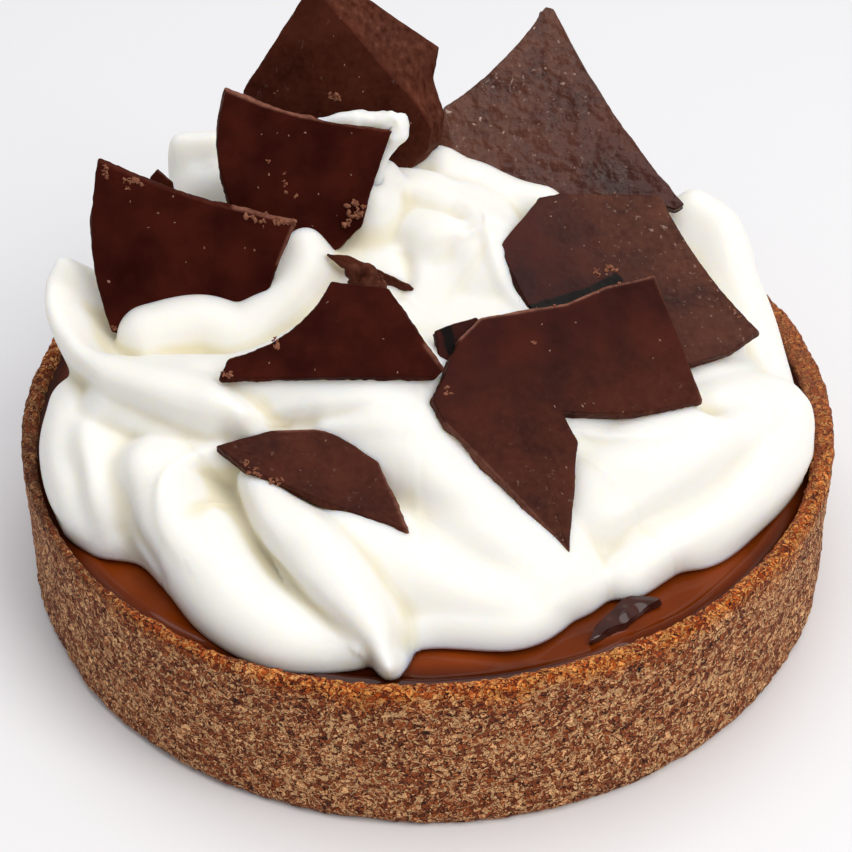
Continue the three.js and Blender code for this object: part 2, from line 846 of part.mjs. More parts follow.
// A broken lump that lies against the sliver, and a piece that floats in the caramel
const LUMP = { centre: [-7.8, 0.9, 40.1], half: [2.2, 1.6, 1.9] };
const FLOATING = {
  name: "floating_piece",
  centre: [22.4, -35.6, 20.2],
  turn: 0,
  lift: 90,
  thickness: 1.0,
  corners: [
    [-4.2, -4.0],
    [-2.7, -3.1],
    [-1.4, -2.3],
    [0.3, -1.5],
    [1.5, -0.2],
    [2.9, 1.2],
    [4.3, 2.4],
    [3.6, 3.0],
    [0.8, 3.0],
    [-0.4, 2.2],
    [-1.6, 0.6],
    [-3.3, -1.5],
  ],
};

function lumpGeometry(clearance) {
  const geometry = new THREE.IcosahedronGeometry(1, 1);
  const position = geometry.getAttribute("position");
  const point = new THREE.Vector3();
  for (let i = 0; i < position.count; i++) {
    point.fromBufferAttribute(position, i);
    const rough = 1 + 0.14 * Math.sin(5 * point.x + 2) + 0.12 * Math.cos(6 * point.y - 4 * point.z);
    point.multiplyScalar(rough);
    position.setXYZ(i, point.x, point.y, point.z);
  }
  geometry.scale(...LUMP.half.map((half) => half + clearance));
  return geometry.translate(...LUMP.centre);
}

const allShards = [TALL_CHUNK, ...SHARDS];
const cutters = allShards.map((shard) => toSolid(shardGeometry(shard, SHARD_CLEARANCE)));
cutters.push(toSolid(lumpGeometry(SHARD_CLEARANCE)), toSolid(shardGeometry(FLOATING, SHARD_CLEARANCE)));
const heap = toSolid(creamGeometry()).add(curlSolid());
const creamSolid = cutters.reduce((cream, cutter) => cream.subtract(cutter), heap);

addNode("crust", crustGeometry(), colours.crust);
addNode("caramel", caramelGeometry(), colours.caramel);
addNode("cream", toGeometry(largestBody(creamSolid)), colours.cream);
allShards.forEach((shard) => addNode(shard.name, shardGeometry(shard, 0), colours.chocolate));
addNode("chocolate_lump", lumpGeometry(0), colours.chocolate);
addNode(FLOATING.name, shardGeometry(FLOATING, 0), colours.wetChocolate);

export default group;
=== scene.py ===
# %% [markdown]
# # A small banoffee pie
# The frame holds the pie as plain solids at their real size: a biscuit crust, caramel, cream and shards of
# dark chocolate. This lesson dresses them. Each solid is replaced by a finer surface that numpy works out
# from the same few sizes, so the pie keeps its form, and every finish is built from shader nodes. Sizes
# stay in millimetres until a mesh is made, because food is easier to think about in millimetres.

# %% The frame
from functools import partial

import bpy
import numpy as np
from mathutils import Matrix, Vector


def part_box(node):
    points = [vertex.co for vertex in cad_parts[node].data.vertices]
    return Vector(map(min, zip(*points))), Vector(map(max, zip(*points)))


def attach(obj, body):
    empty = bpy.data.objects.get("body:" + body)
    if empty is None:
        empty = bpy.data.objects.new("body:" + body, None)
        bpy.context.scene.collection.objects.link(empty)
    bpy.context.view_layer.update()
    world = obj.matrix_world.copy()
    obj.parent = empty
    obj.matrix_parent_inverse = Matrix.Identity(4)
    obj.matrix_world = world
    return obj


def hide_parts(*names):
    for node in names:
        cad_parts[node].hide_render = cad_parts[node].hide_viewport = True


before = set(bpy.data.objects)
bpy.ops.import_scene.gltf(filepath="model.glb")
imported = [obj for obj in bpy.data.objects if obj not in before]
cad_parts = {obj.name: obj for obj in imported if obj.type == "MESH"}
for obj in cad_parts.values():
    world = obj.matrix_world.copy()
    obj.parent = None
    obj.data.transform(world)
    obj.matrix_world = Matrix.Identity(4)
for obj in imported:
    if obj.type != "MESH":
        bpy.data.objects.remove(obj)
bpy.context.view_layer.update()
MM = 0.001
BODY = "root"
print("nodes in the frame:", len(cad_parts))

# %% [markdown]
# ## Camera
# The rim and the foot of the crust are two circles a known height apart, and their ellipses in the
# photograph give the camera: about 43 degrees above the table, a third of a metre away, with a short
# telephoto lens. The camera looks a little above the middle of the crust, so it is tilted less than the
# line to the centre.

# %% Camera
CAMERA_DISTANCE = 341.0
CAMERA_ELEVATION = np.radians(43.2)
CAMERA_TILT = np.radians(41.0)
CAMERA_YAW = np.radians(0.06)
FOCAL_LENGTH_PIXELS = 2645
IMAGE_PIXELS = 852

camera_data = bpy.data.cameras.new("photo_camera")
camera_data.lens = camera_data.sensor_width * FOCAL_LENGTH_PIXELS / IMAGE_PIXELS
camera = bpy.data.objects.new("photo_camera", camera_data)
camera.location = (
    0,
    -CAMERA_DISTANCE * np.cos(CAMERA_ELEVATION) * MM,
    CAMERA_DISTANCE * np.sin(CAMERA_ELEVATION) * MM,
)
camera.rotation_euler = (np.pi / 2 - CAMERA_TILT, 0, CAMERA_YAW)
bpy.context.scene.collection.objects.link(camera)
bpy.context.scene.camera = camera
print(f"camera lens {camera_data.lens:.1f} mm")

# %% [markdown]
# ## Light and floor
# The pie was photographed by a large window on a white table: the light is soft, comes from above and from
# the right, and the table throws much of it back. One broad lamp stands for the window, a weaker one hangs
# overhead and puts the sheen on chocolate that lies flat, and a pale world fills the shadows. Colours are
# written as sRGB hex values, as a paint chart has them, and one function turns them into the linear numbers
# of the renderer. Another function adds one shader node, so that a finish reads as a list of its nodes.

# %% Colours and shader nodes
def linear(hex_colour):
    """An sRGB hex colour as linear RGBA: c / 12.92 in the darks, else ((c + 0.055) / 1.055)^2.4."""
    channels = np.array([int(hex_colour[i:i + 2], 16) for i in (1, 3, 5)]) / 255
    bright = ((channels + 0.055) / 1.055) ** 2.4
    return (*np.where(channels > 0.04045, bright, channels / 12.92), 1.0)


def add_node(tree, kind, inputs=None, **properties):
    """One shader node's outputs: properties are set by name; an input given a socket is linked, else set."""
    node = tree.nodes.new("ShaderNode" + kind)
    for name, value in properties.items():
        setattr(node, name, value)
    for name, value in (inputs or {}).items():
        if isinstance(value, bpy.types.NodeSocket):
            tree.links.new(value, node.inputs[name])
        else:
            node.inputs[name].default_value = value
    return node.outputs


def new_material(name, **settings):
    """A Principled material with its settings, what adds nodes to it, and the object's own coordinates."""
    material = bpy.data.materials.new(name)
    material.use_nodes = True
    shader = material.node_tree.nodes["Principled BSDF"]
    for socket, value in settings.items():
        shader.inputs[socket.replace("_", " ")].default_value = value
    add = partial(add_node, material.node_tree)
    return material, add, add("TexCoord")["Object"]


def finished(material, **results):
    """The material, with results of its nodes linked to the Principled shader's sockets of those names."""
    tree = material.node_tree
    for socket, result in results.items():
        tree.links.new(result, tree.nodes["Principled BSDF"].inputs[socket.replace("_", " ")])
    return material


def span(start, end, low=0.0, high=1.0):
    """The inputs that make a map range turn start to end into low to high."""
    return {"From Min": start, "From Max": end, "To Min": low, "To Max": high}


def pitch(size):
    """A texture's scale that makes its features about this many millimetres wide, in object metres."""
    return 1 / (size * MM)


print(f"the sRGB grey #808080 is {linear('#808080')[0]:.3f} in linear light")

# %% Lamps and world
# place in mm, size in mm, watts, colour
LAMPS = {
    "window": ((380, -300, 620), 460, 3.1, "#fffbf5"),
    "overhead": ((-20, 120, 760), 560, 2.3, "#ffffff"),
}
WORLD_COLOUR = "#f6f7fb"
WORLD_STRENGTH = 0.48

for lamp_name, (lamp_place, lamp_size, watts, lamp_colour) in LAMPS.items():
    lamp_data = bpy.data.lights.new(lamp_name, "AREA")
    lamp_data.size = lamp_size * MM
    lamp_data.energy = watts
    lamp_data.color = linear(lamp_colour)[:3]
    lamp = bpy.data.objects.new(lamp_name, lamp_data)
    lamp.location = Vector(lamp_place) * MM
    lamp.rotation_euler = (-lamp.location).to_track_quat("-Z", "Y").to_euler()
    bpy.context.scene.collection.objects.link(lamp)

world = bpy.data.worlds.new("pale_room")
world.use_nodes = True
background = world.node_tree.nodes["Background"].inputs
background["Color"].default_value = linear(WORLD_COLOUR)
background["Strength"].default_value = WORLD_STRENGTH
bpy.context.scene.world = world
bpy.context.scene.view_settings.view_transform = "Standard"
print("lamps:", ", ".join(LAMPS))

# %% Floor
FLOOR_HALF = 1500.0
FLOOR_DROP = 0.05
floor_mesh = bpy.data.meshes.new("floor")
floor_corners = np.array([[-1, -1], [1, -1], [1, 1], [-1, 1]]) * FLOOR_HALF
floor_points = np.column_stack([floor_corners, np.full(4, -FLOOR_DROP)]) * MM
floor_mesh.from_pydata(floor_points, [], [(0, 1, 2, 3)])
floor = bpy.data.objects.new("floor", floor_mesh)
bpy.context.scene.collection.objects.link(floor)
floor_finish = new_material("white_glaze", Base_Color=linear("#eeeef0"), Roughness=0.35)[0]
floor_mesh.materials.append(floor_finish)
print(f"floor {2 * FLOOR_HALF * MM:.0f} m wide")

# %% [markdown]
# ## Surfaces from arrays
# Almost every piece below is a grid of points, a function of two parameters, whose rows close into rings.
# One helper numbers the triangles of such a grid and of the two caps that shut it, and another turns arrays
# into a mesh that rides on the frame. Two kinds of scatter give food its uneven skin: smooth noise for
# swells and waves, and scattered cells for crumbs. Both work on whole arrays of points.

# %% Meshes
def fan_triangles(ring, hub):
    """Triangles from every step of a closed ring of points to one hub point."""
    return np.column_stack([ring, np.roll(ring, -1), np.full(len(ring), hub)])


def capped_triangles(rows, columns):
    """Triangles of a grid whose rows are rings, two for each cell, and a fan at each end. Points are numbered
    row by row, then come the poles of the first and of the last row."""
    number = np.arange(rows * columns).reshape(rows, columns)
    ring = np.column_stack([number, number[:, 0]])
    a, b = ring[:-1, :-1].ravel(), ring[:-1, 1:].ravel()
    c, d = ring[1:, 1:].ravel(), ring[1:, :-1].ravel()
    caps = [fan_triangles(number[0, ::-1], number.size), fan_triangles(number[-1], number.size + 1)]
    return np.concatenate([np.column_stack([a, b, c]), np.column_stack([a, c, d]), *caps])


def add_piece(name, points, triangles, material, slot, replaced=(), **attributes):
    """A smooth mesh from points in mm, riding on the frame, with named numbers on its points."""
    mesh = bpy.data.meshes.new(name)
    mesh.vertices.add(len(points))
    mesh.vertices.foreach_set("co", (points * MM).astype(np.float32).ravel())
    mesh.loops.add(triangles.size)
    mesh.loops.foreach_set("vertex_index", triangles.astype(np.int32).ravel())
    mesh.polygons.add(len(triangles))
    mesh.polygons.foreach_set("loop_start", np.arange(0, triangles.size, 3, dtype=np.int32))
    mesh.polygons.foreach_set("use_smooth", np.ones(len(triangles), bool))
    mesh.update(calc_edges=True)
    for label, values in attributes.items():
        layer = mesh.attributes.new(label, "FLOAT", "POINT")
        layer.data.foreach_set("value", values.astype(np.float32))
    mesh.materials.append(material)
    piece = bpy.data.objects.new(name, mesh)
    bpy.context.scene.collection.objects.link(piece)
    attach(piece, BODY)
    if replaced:
        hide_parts(*replaced)
    print(f"{name}: {len(points)} points, {len(triangles)} triangles")
    return piece


print("a capped grid of 3 rings of 4 points has", len(capped_triangles(3, 4)), "triangles")

# %% Noise and scattered cells
HASH_FACTORS = np.array([73856093, 19349663, 83492791])
TABLE_SIZE = 8192


def lattice_numbers(cells, seed):
    """One random number from 0 to 1 for every whole-numbered lattice cell, the same for the same seed."""
    table = np.random.default_rng(seed).uniform(0, 1, TABLE_SIZE)
    mixed = np.bitwise_xor.reduce(cells * HASH_FACTORS, axis=-1)
    return table[mixed % TABLE_SIZE]


def noise(points, size, seed):
    """Smooth noise from -1 to 1: random lattice values, blended by 3 t^2 - 2 t^3 between a cell's corners."""
    cells = np.floor(points / size).astype(np.int64)
    t = points / size - cells
    blend = t * t * (3 - 2 * t)
    total = np.zeros(len(points))
    for corner in np.ndindex(2, 2, 2):
        weight = np.where(np.array(corner) == 1, blend, 1 - blend).prod(axis=1)
        total += weight * lattice_numbers(cells + corner, seed)
    return 2 * total - 1


def crumbs(points, size, seed):
    """Scattered crumbs: the distance to the nearest crumb's centre, in sizes, and that crumb's own number."""
    cells = np.floor(points / size).astype(np.int64)
    nearest = np.full(len(points), np.inf)
    own = np.zeros(len(points))
    for offset in np.ndindex(3, 3, 3):
        cell = cells + np.array(offset) - 1
        shift = np.column_stack([lattice_numbers(cell, seed + axis) for axis in range(3)])
        distance = np.linalg.norm(points / size - cell - shift, axis=1)
        closer = distance < nearest
        nearest = np.where(closer, distance, nearest)
        own = np.where(closer, lattice_numbers(cell, seed + 3), own)
    return nearest, own


def smooth_step(values, low, high):
    """0 below low, 1 above high, and 3 t^2 - 2 t^3 between."""
    t = np.clip((values - low) / (high - low), 0, 1)
    return t * t * (3 - 2 * t)


print("noise at three places:", noise(np.eye(3), 0.7, seed=1).round(2))

# %% [markdown]
# ## Cocoa biscuit crust
# The crust was pressed from cocoa biscuit crumbs into a ring: its wall is straight, its rim is a little
# uneven and rounded, and flat crumbs and dark gaps cover all of it. A lathe would give the form, but not
# the crumbs, so the section is carried round as a grid and every point is moved along the surface normal by
# scattered crumbs. The rim was rubbed when the ring came off, so its crumbs stand prouder there and show a
# lighter, toasted brown.

# %% Crust section
CRUST_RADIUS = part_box("crust")[1].x / MM
CRUST_WALL = 2.2
CRUST_INNER = CRUST_RADIUS - CRUST_WALL
CRUST_FLOOR = 3.2
CRUST_TOP = 20.45
HUB_RADIUS = 2
FOOT_ROUND = 1.2
RIM_ROUND = 0.7
ROUND_SHARE = 0.3


def section(*stretches):
    """A line through [radius, height] corners; each stretch gives its start and the steps to the next."""
    corners = [np.array(corner, float) for corner, _ in stretches]
    pieces = [
        np.linspace(start, end, steps, endpoint=False)
        for start, end, (_, steps) in zip(corners, corners[1:], stretches)
    ]
    return np.concatenate([*pieces, corners[-1:]])


def carried_round(line, turns):
    """A section line carried round Z: every row is one point of the line, every column one angle."""
    angle = np.linspace(0, 2 * np.pi, turns, endpoint=False)
    radius, height = line[:, :1], line[:, 1:]
    flat = np.broadcast_to(height, (len(line), turns))
    return np.stack([radius * np.cos(angle), radius * np.sin(angle), flat], axis=-1), angle


crust_line = section(
    ([HUB_RADIUS, 0], 3),
    ([CRUST_RADIUS - FOOT_ROUND, 0], 3),
    ([CRUST_RADIUS - ROUND_SHARE * FOOT_ROUND, ROUND_SHARE * FOOT_ROUND], 3),
    ([CRUST_RADIUS, FOOT_ROUND], 50),
    ([CRUST_RADIUS, CRUST_TOP - RIM_ROUND], 3),
    ([CRUST_RADIUS - ROUND_SHARE * RIM_ROUND, CRUST_TOP - ROUND_SHARE * RIM_ROUND], 3),
    ([CRUST_RADIUS - RIM_ROUND, CRUST_TOP], 5),
    ([CRUST_INNER + RIM_ROUND, CRUST_TOP], 3),
    ([CRUST_INNER + ROUND_SHARE * RIM_ROUND, CRUST_TOP - ROUND_SHARE * RIM_ROUND], 3),
    ([CRUST_INNER, CRUST_TOP - RIM_ROUND], 8),
    ([CRUST_INNER, CRUST_TOP - 4], 2),
    ([CRUST_INNER, CRUST_FLOOR], 2),
    ([HUB_RADIUS, CRUST_FLOOR], 1),
)
print(f"crust {2 * CRUST_RADIUS:.1f} mm across, {len(crust_line)} points in its section")

# %% Crust wall and rim
FRONT_LIFT = 0.9
FRONT_LEAN = 0.8
LEAN_AT_CARAMEL = 0.92
LEFT_THINNING = 1.0
RIGHT_THICKENING = 1.2
# where round the crust, as centre and width in degrees: 0 is the right, 180 the left and 270 the front
LIFTED_FRONT = (290, 45)
THIN_LEFT = (212, 30)
THICK_RIGHT = (20, 25)


def bell(angle, centre, width):
    """exp(-(turn / width)^2), where turn is the angle from the centre; centre and width are in degrees."""
    turn = np.degrees(np.angle(np.exp(1j * (angle - np.radians(centre)))))
    return np.exp(-((turn / width) ** 2))


def crust_wall(angle):
    """The wall's thickness round the crust: it was pressed thinner at the left and thicker at the right."""
    return CRUST_WALL - LEFT_THINNING * bell(angle, *THIN_LEFT) + RIGHT_THICKENING * bell(angle, *THICK_RIGHT)


def crust_inside(angle):
    """The radius of the inside of the wall at the caramel, where the front leans in a little."""
    return CRUST_RADIUS - LEAN_AT_CARAMEL * FRONT_LEAN * bell(angle, *LIFTED_FRONT) - crust_wall(angle)


for side_name, degrees in {"right": 0, "left": 180, "front": 270}.items():
    print(f"wall at the {side_name}: {crust_wall(np.radians(degrees)):.2f} mm")

# %% Crust surface
CRUST_TURNS = 880
CRUMB_SIZE = 1.1
FINE_CRUMB_SIZE = 0.55 * CRUMB_SIZE
CRUMB_FLATNESS = [1, 1, 1.3]
CRUMB_RELIEF = 0.16
RIM_RELIEF = 0.2
SWELL_HEIGHT = 0.18
SWELL_WIDTH = 6
RIM_WAVE = 0.25
# waves round the rim: how many, where they start and their share of RIM_WAVE
RIM_WAVES = [(5, 0.7, 0.5), (11, 2.1, 0.3), (23, 0, 0.2)]
# more places round the crust: less rim colour, pressed smooth inside and on top, and darker on top at the
# left
LESS_RIM_COLOUR = (195, 30)
PRESSED_INSIDE = (15, 38)
PRESSED_TOP = (12, 22)
DARKENED_LEFT_TOP = (198, 28)


def crust_lift(points, radius, rim):
    """How far crumbs and slow swells move the skin out: a crumb's own height, less by the distance from its
    centre, and more at the rim. The skin stays as it is where the caramel hides it."""
    distance, own_height = crumbs(points * CRUMB_FLATNESS, CRUMB_SIZE, seed=11)
    fine, _ = crumbs(points, FINE_CRUMB_SIZE, seed=23)
    hidden = smooth_step(CRUST_INNER + 0.5 - radius, 0, 0.5) * smooth_step(CRUST_TOP - 3 - points[:, 2], 0, 1)
    amount = CRUMB_RELIEF + (RIM_RELIEF - CRUMB_RELIEF) * rim
    lift = amount * (1.2 * own_height - 0.6 + 0.9 * (0.5 - distance) + 0.5 * (0.5 - fine))
    return (lift + SWELL_HEIGHT * noise(points, SWELL_WIDTH, seed=5)) * (1 - hidden)


def crust_surface():
    """The section carried round, lifted by crumbs along its normals, then thinned, leant and raised: points,
    and how much each one is rim, pressed smooth and darker on top at the left."""
    run = np.gradient(crust_line, axis=0)
    normal = np.column_stack([run[:, 1], -run[:, 0]])
    normal /= np.linalg.norm(normal, axis=1, keepdims=True)
    outward = np.repeat(normal, CRUST_TURNS, axis=0)
    grid, angle = carried_round(crust_line, CRUST_TURNS)
    points = grid.reshape(-1, 3)
    turned = np.tile(angle, len(crust_line))
    radius = np.hypot(points[:, 0], points[:, 1])
    height = points[:, 2]  # a view, so it follows every move of the points

    patchy = 1.5 * noise(points, 3.5, seed=7) + 0.7 * noise(points, 1.2, seed=8)
    toasted = smooth_step(height + patchy, CRUST_TOP - 3.2, CRUST_TOP + 0.2)
    # less of the rim's colours at the left
    rim = toasted * (1 - 0.7 * bell(turned, *LESS_RIM_COLOUR))
    lift = crust_lift(points, radius, rim)
    wave = sum(share * np.sin(count * turned + start) for count, start, share in RIM_WAVES)
    reach = points[:, :2] / np.maximum(radius, 1e-9)[:, None]
    points[:, :2] += reach * (outward[:, 0] * lift)[:, None]
    height += outward[:, 1] * lift + RIM_WAVE * smooth_step(height, CRUST_TOP - 2, CRUST_TOP) * wave
    height[:] = np.where(height < 0.3, np.maximum(height, 0), height)

    thinner = (CRUST_RADIUS - radius) * (1 - crust_wall(turned) / CRUST_WALL)
    inward = FRONT_LEAN * bell(turned, *LIFTED_FRONT) * np.minimum(height / CRUST_TOP, 1)
    in_wall = (height > CRUST_FLOOR) & (radius > CRUST_INNER - 0.5)
    points[:, :2] += reach * np.where(in_wall, thinner - inward, 0)[:, None]
    height += FRONT_LIFT * bell(turned, *LIFTED_FRONT) * smooth_step(height, 0.5 * CRUST_TOP, CRUST_TOP)

    inside = smooth_step(CRUST_RADIUS - radius, 0.5, 1.6) * smooth_step(height, CRUST_TOP - 5, CRUST_TOP - 3)
    on_top = smooth_step(height, CRUST_TOP - 1.6, CRUST_TOP - 0.4)
    pressed = np.maximum(inside * bell(turned, *PRESSED_INSIDE), 0.8 * on_top * bell(turned, *PRESSED_TOP))
    return points, {"rim": rim, "pressed": pressed, "darkened_left_top": on_top * bell(turned, *DARKENED_LEFT_TOP)}


crust_points, crust_marks = crust_surface()
print(f"crust is {crust_points[:, 2].max():.1f} mm high at the top of its rim")

# %% [markdown]
# ### Finish of the crust
# Baked cocoa biscuit is matt and dry. Its face is a felt of broken flakes, half a millimetre to a
# millimetre wide, from dark cocoa brown to tan. Two cell textures, bent by noise so that no flake is round,
# give every flake its own tone; the distance to a flake's border paints shade into the gaps between flakes
# and paints a highlight on the one edge of each flake that its random colour picks. The rim is toasted in
# patches. It was pressed smooth at the right and is darker on top at the left, and these marks come as
# numbers on the points.

# %% Crust finish
WALL_TONES = [(0.0, "#1c0903"), (0.38, "#6e3014"), (0.68, "#9c5027"), (1.0, "#fdc48a")]
RIM_TONES = [(0.0, "#1e0801"), (0.37, "#782b06"), (0.65, "#ac4b10"), (1.0, "#f4a455")]
PRESSED_TONE = "#91563a"
DARKENED_LEFT_TONE = "#4a1f0e"
FLAKE_WIDTH = 0.78
CHIP_WIDTH = 0.32
# painted shade fills the gaps between flakes and a painted highlight lies on one edge of each, as shares of a
# flake's width
PAINTED_SHADE_GAP_SHARE = 0.08
PAINTED_HIGHLIGHT_SHARE = 0.27
BEND = 2.2
BEND_WIDTH = 1.1
# a flake's random colour, less this middle, picks the edge on which a highlight is painted, between two
# shares of its width
COLOUR_MIDDLE = Vector((0.5, 0.5, 0.35))
HIGHLIGHT_START = -0.03
HIGHLIGHT_END = 0.14


def cocoa_biscuit():
    """Dry baked crumb: bent flakes of mixed browns with painted gap shade and edge highlights, toasted at the
    rim.
    """
    material, add, place = new_material(
        "baked_cocoa_biscuit", Roughness=0.75, Specular_IOR_Level=0.12, Sheen_Weight=0.04
    )
    bend = add("TexNoise", {"Vector": place, "Scale": pitch(BEND_WIDTH), "Detail": 2.5})["Color"]
    swell = add("TexNoise", {"Vector": place, "Scale": pitch(4), "Detail": 3.0})["Fac"]
    grain = add("TexNoise", {"Vector": place, "Scale": pitch(0.25), "Detail": 2.0})["Fac"]
    bend_size = Vector((1, 1, 1)) * BEND * MM
    bent = add("VectorMath", {0: bend, 1: bend_size, 2: place}, operation="MULTIPLY_ADD")[0]
    flake = {"Vector": bent, "Scale": pitch(FLAKE_WIDTH), "Randomness": 1.0}
    cells = add("TexVoronoi", flake)
    border = add("TexVoronoi", flake, feature="DISTANCE_TO_EDGE")["Distance"]
    chips = add("TexVoronoi", {**flake, "Scale": pitch(CHIP_WIDTH)})["Color"]
    own, chip_own = [add("SeparateColor", {"Color": colour}) for colour in (cells["Color"], chips)]
    across = add("VectorMath", {0: bent, 1: cells["Position"]}, operation="SUBTRACT")[0]
    highlight_way = add("VectorMath", {0: cells["Color"], 1: COLOUR_MIDDLE}, operation="SUBTRACT")[0]
    toward = add("VectorMath", {0: across, 1: highlight_way}, operation="DOT_PRODUCT")["Value"]
    highlight_span = span(HIGHLIGHT_START * FLAKE_WIDTH * MM, HIGHLIGHT_END * FLAKE_WIDTH * MM)
    highlight_side = add("MapRange", {"Value": toward, **highlight_span})[0]
    # painted shade in the gaps between flakes, and a painted highlight on the edge that each flake's colour
    # picks
    gap = add("MapRange", {"Value": border, **span(0, PAINTED_SHADE_GAP_SHARE, -0.55, 0)})[0]
    pale = add("MapRange", {"Value": border, **span(PAINTED_SHADE_GAP_SHARE, PAINTED_HIGHLIGHT_SHARE, 1.5, 0)})[0]
    painted_edge_highlight = add("Math", {0: pale, 1: highlight_side}, operation="MULTIPLY")[0]
    tone = add("Math", {0: painted_edge_highlight, 1: own["Green"], 2: gap}, operation="MULTIPLY_ADD")[0]
    for pattern, share in [(own["Red"], 0.26), (chip_own["Red"], 0.3), (swell, 0.25), (grain, 0.45)]:
        tone = add("Math", {0: pattern, 1: share, 2: tone}, operation="MULTIPLY_ADD")[0]
    level = add("Math", {0: tone, 1: 1.45, 2: -0.3}, operation="MULTIPLY_ADD")[0]
    ramps = []
    for tones in (WALL_TONES, RIM_TONES):
        ramps.append(add("ValToRGB", {"Fac": level})["Color"])
        stops = ramps[-1].node.color_ramp.elements
        stops.remove(stops[0])
        stops[0].position, stops[0].color = tones[-1][0], linear(tones[-1][1])
        for position, hex_colour in tones[:-1]:
            stops.new(position).color = linear(hex_colour)
    rim, pressed, darkened_left_top = [add("Attribute", attribute_name=mark)["Fac"] for mark in crust_marks]
    colour = add("Mix", {0: rim, 6: ramps[0], 7: ramps[1]}, data_type="RGBA")[2]
    smeared = add("MapRange", {"Value": swell, **span(0.3, 0.6, 0.45, 0.85)})[0]
    # a plain brown inside and on top at the right, and a darker brown on top of the rim at the left
    for amount, hex_colour in [(pressed, PRESSED_TONE), (darkened_left_top, DARKENED_LEFT_TONE)]:
        cover = add("Math", {0: amount, 1: smeared}, operation="MULTIPLY")[0]
        colour = add("Mix", {0: cover, 6: colour, 7: linear(hex_colour)}, data_type="RGBA")[2]
    bump = add("Bump", {"Height": tone, "Strength": 0.9, "Distance": 0.35 * MM})["Normal"]
    return finished(material, Base_Color=colour, Normal=bump)


add_piece(
    "crust_surface", np.vstack([crust_points, [0, 0, 0], [0, 0, CRUST_FLOOR]]),
    capped_triangles(len(crust_line), CRUST_TURNS), cocoa_biscuit(), "cocoa_biscuit", ["crust"],
    **{mark: np.append(values, [0, 0]) for mark, values in crust_marks.items()},
)

# %% [markdown]
# ## Caramel
# Caramel was poured into the crust while soft, so it settled level, crept up the crust's wall in a thin
# curve and kept slow waves. Seen from outside it is a ring between cream and rim, but it is made whole, as
# the real filling is. It is a disc of rings: the height is a level, an edge that climbs as exp(-distance),
# a bead beside it and smooth noise. A chip of chocolate lies half sunk at the front right, and the caramel
# swells round it.

# %% Caramel form
CARAMEL_LEVEL = 18.7
WALL_OVERLAP = 0.25
CARAMEL_RADIUS = CRUST_INNER + WALL_OVERLAP
CARAMEL_UNDERSIDE = CRUST_FLOOR + 0.1
CARAMEL_CLIMB = 1.0
CLIMB_WIDTH = 0.8
BEAD_HEIGHT = 0.3
BEAD_FROM_WALL = 2.3
BEAD_WIDTH = 0.7
CARAMEL_RINGS = 110
CARAMEL_TURNS = 300
# how the caramel swells round the sunken chip
CHIP_SWELL = 0.9
CHIP_PLACE = np.array([22.4, -35.9])
CHIP_WAY = np.array([0.76, 0.65])
CHIP_ACROSS = CHIP_WAY[::-1] * [1, -1]
CHIP_LENGTH = 5
CHIP_BREADTH = 2.2
# painted shade: the caramel at the front is darkened as if the wall were nearer by the shift below
PAINTED_SHADE_FRONT = (268, 22)
PAINTED_SHADE_FRONT_SHIFT = 2.6


def caramel_surface():
    """Rings out under the filling, then from the wall in over the top: points and distances from the wall."""
    radius = CARAMEL_RADIUS * np.linspace(0.02, 1, CARAMEL_RINGS) ** 0.6
    from_edge = CARAMEL_RADIUS - radius
    climb = CARAMEL_CLIMB * np.exp(-from_edge / CLIMB_WIDTH)
    climb += BEAD_HEIGHT * np.exp(-(((from_edge - BEAD_FROM_WALL) / BEAD_WIDTH) ** 2))
    top = np.column_stack([radius, CARAMEL_LEVEL + climb])
    under = [[CARAMEL_RADIUS, CARAMEL_UNDERSIDE], [1, CARAMEL_UNDERSIDE]]
    line = np.concatenate([top, under])[::-1]
    grid, angle = carried_round(line, CARAMEL_TURNS)
    grid[..., :2] *= ((crust_inside(angle) + WALL_OVERLAP) / CARAMEL_RADIUS)[:, None]
    climbed = np.maximum(grid[..., 2] - CARAMEL_LEVEL, 0) / CARAMEL_CLIMB
    grid[..., 2] += FRONT_LIFT * bell(angle, *LIFTED_FRONT) * climbed
    points = grid.reshape(-1, 3)
    from_wall = np.repeat(CARAMEL_RADIUS - line[:, 0], CARAMEL_TURNS)
    # painted shade: the front counts as nearer the wall, so its caramel is painted darker
    from_wall -= PAINTED_SHADE_FRONT_SHIFT * np.tile(bell(angle, *PAINTED_SHADE_FRONT), len(line))
    flat = points * [1, 1, 0]
    swell = 0.22 * noise(flat, 9, seed=41) + 0.12 * noise(flat, 3, seed=43)
    beside_chip = points[:, :2] - CHIP_PLACE
    along, across = beside_chip @ CHIP_WAY / CHIP_LENGTH, beside_chip @ CHIP_ACROSS / CHIP_BREADTH
    swell += CHIP_SWELL * np.exp(-(along**2) - across**2)
    points[:, 2] += np.where(points[:, 2] > CARAMEL_LEVEL - 1, swell, 0)
    return points, from_wall


caramel_points, caramel_from_wall = caramel_surface()
print(f"caramel climbs to {caramel_points[:, 2].max():.1f} mm")

# %% Caramel finish
FAR_FROM_WALL = 9


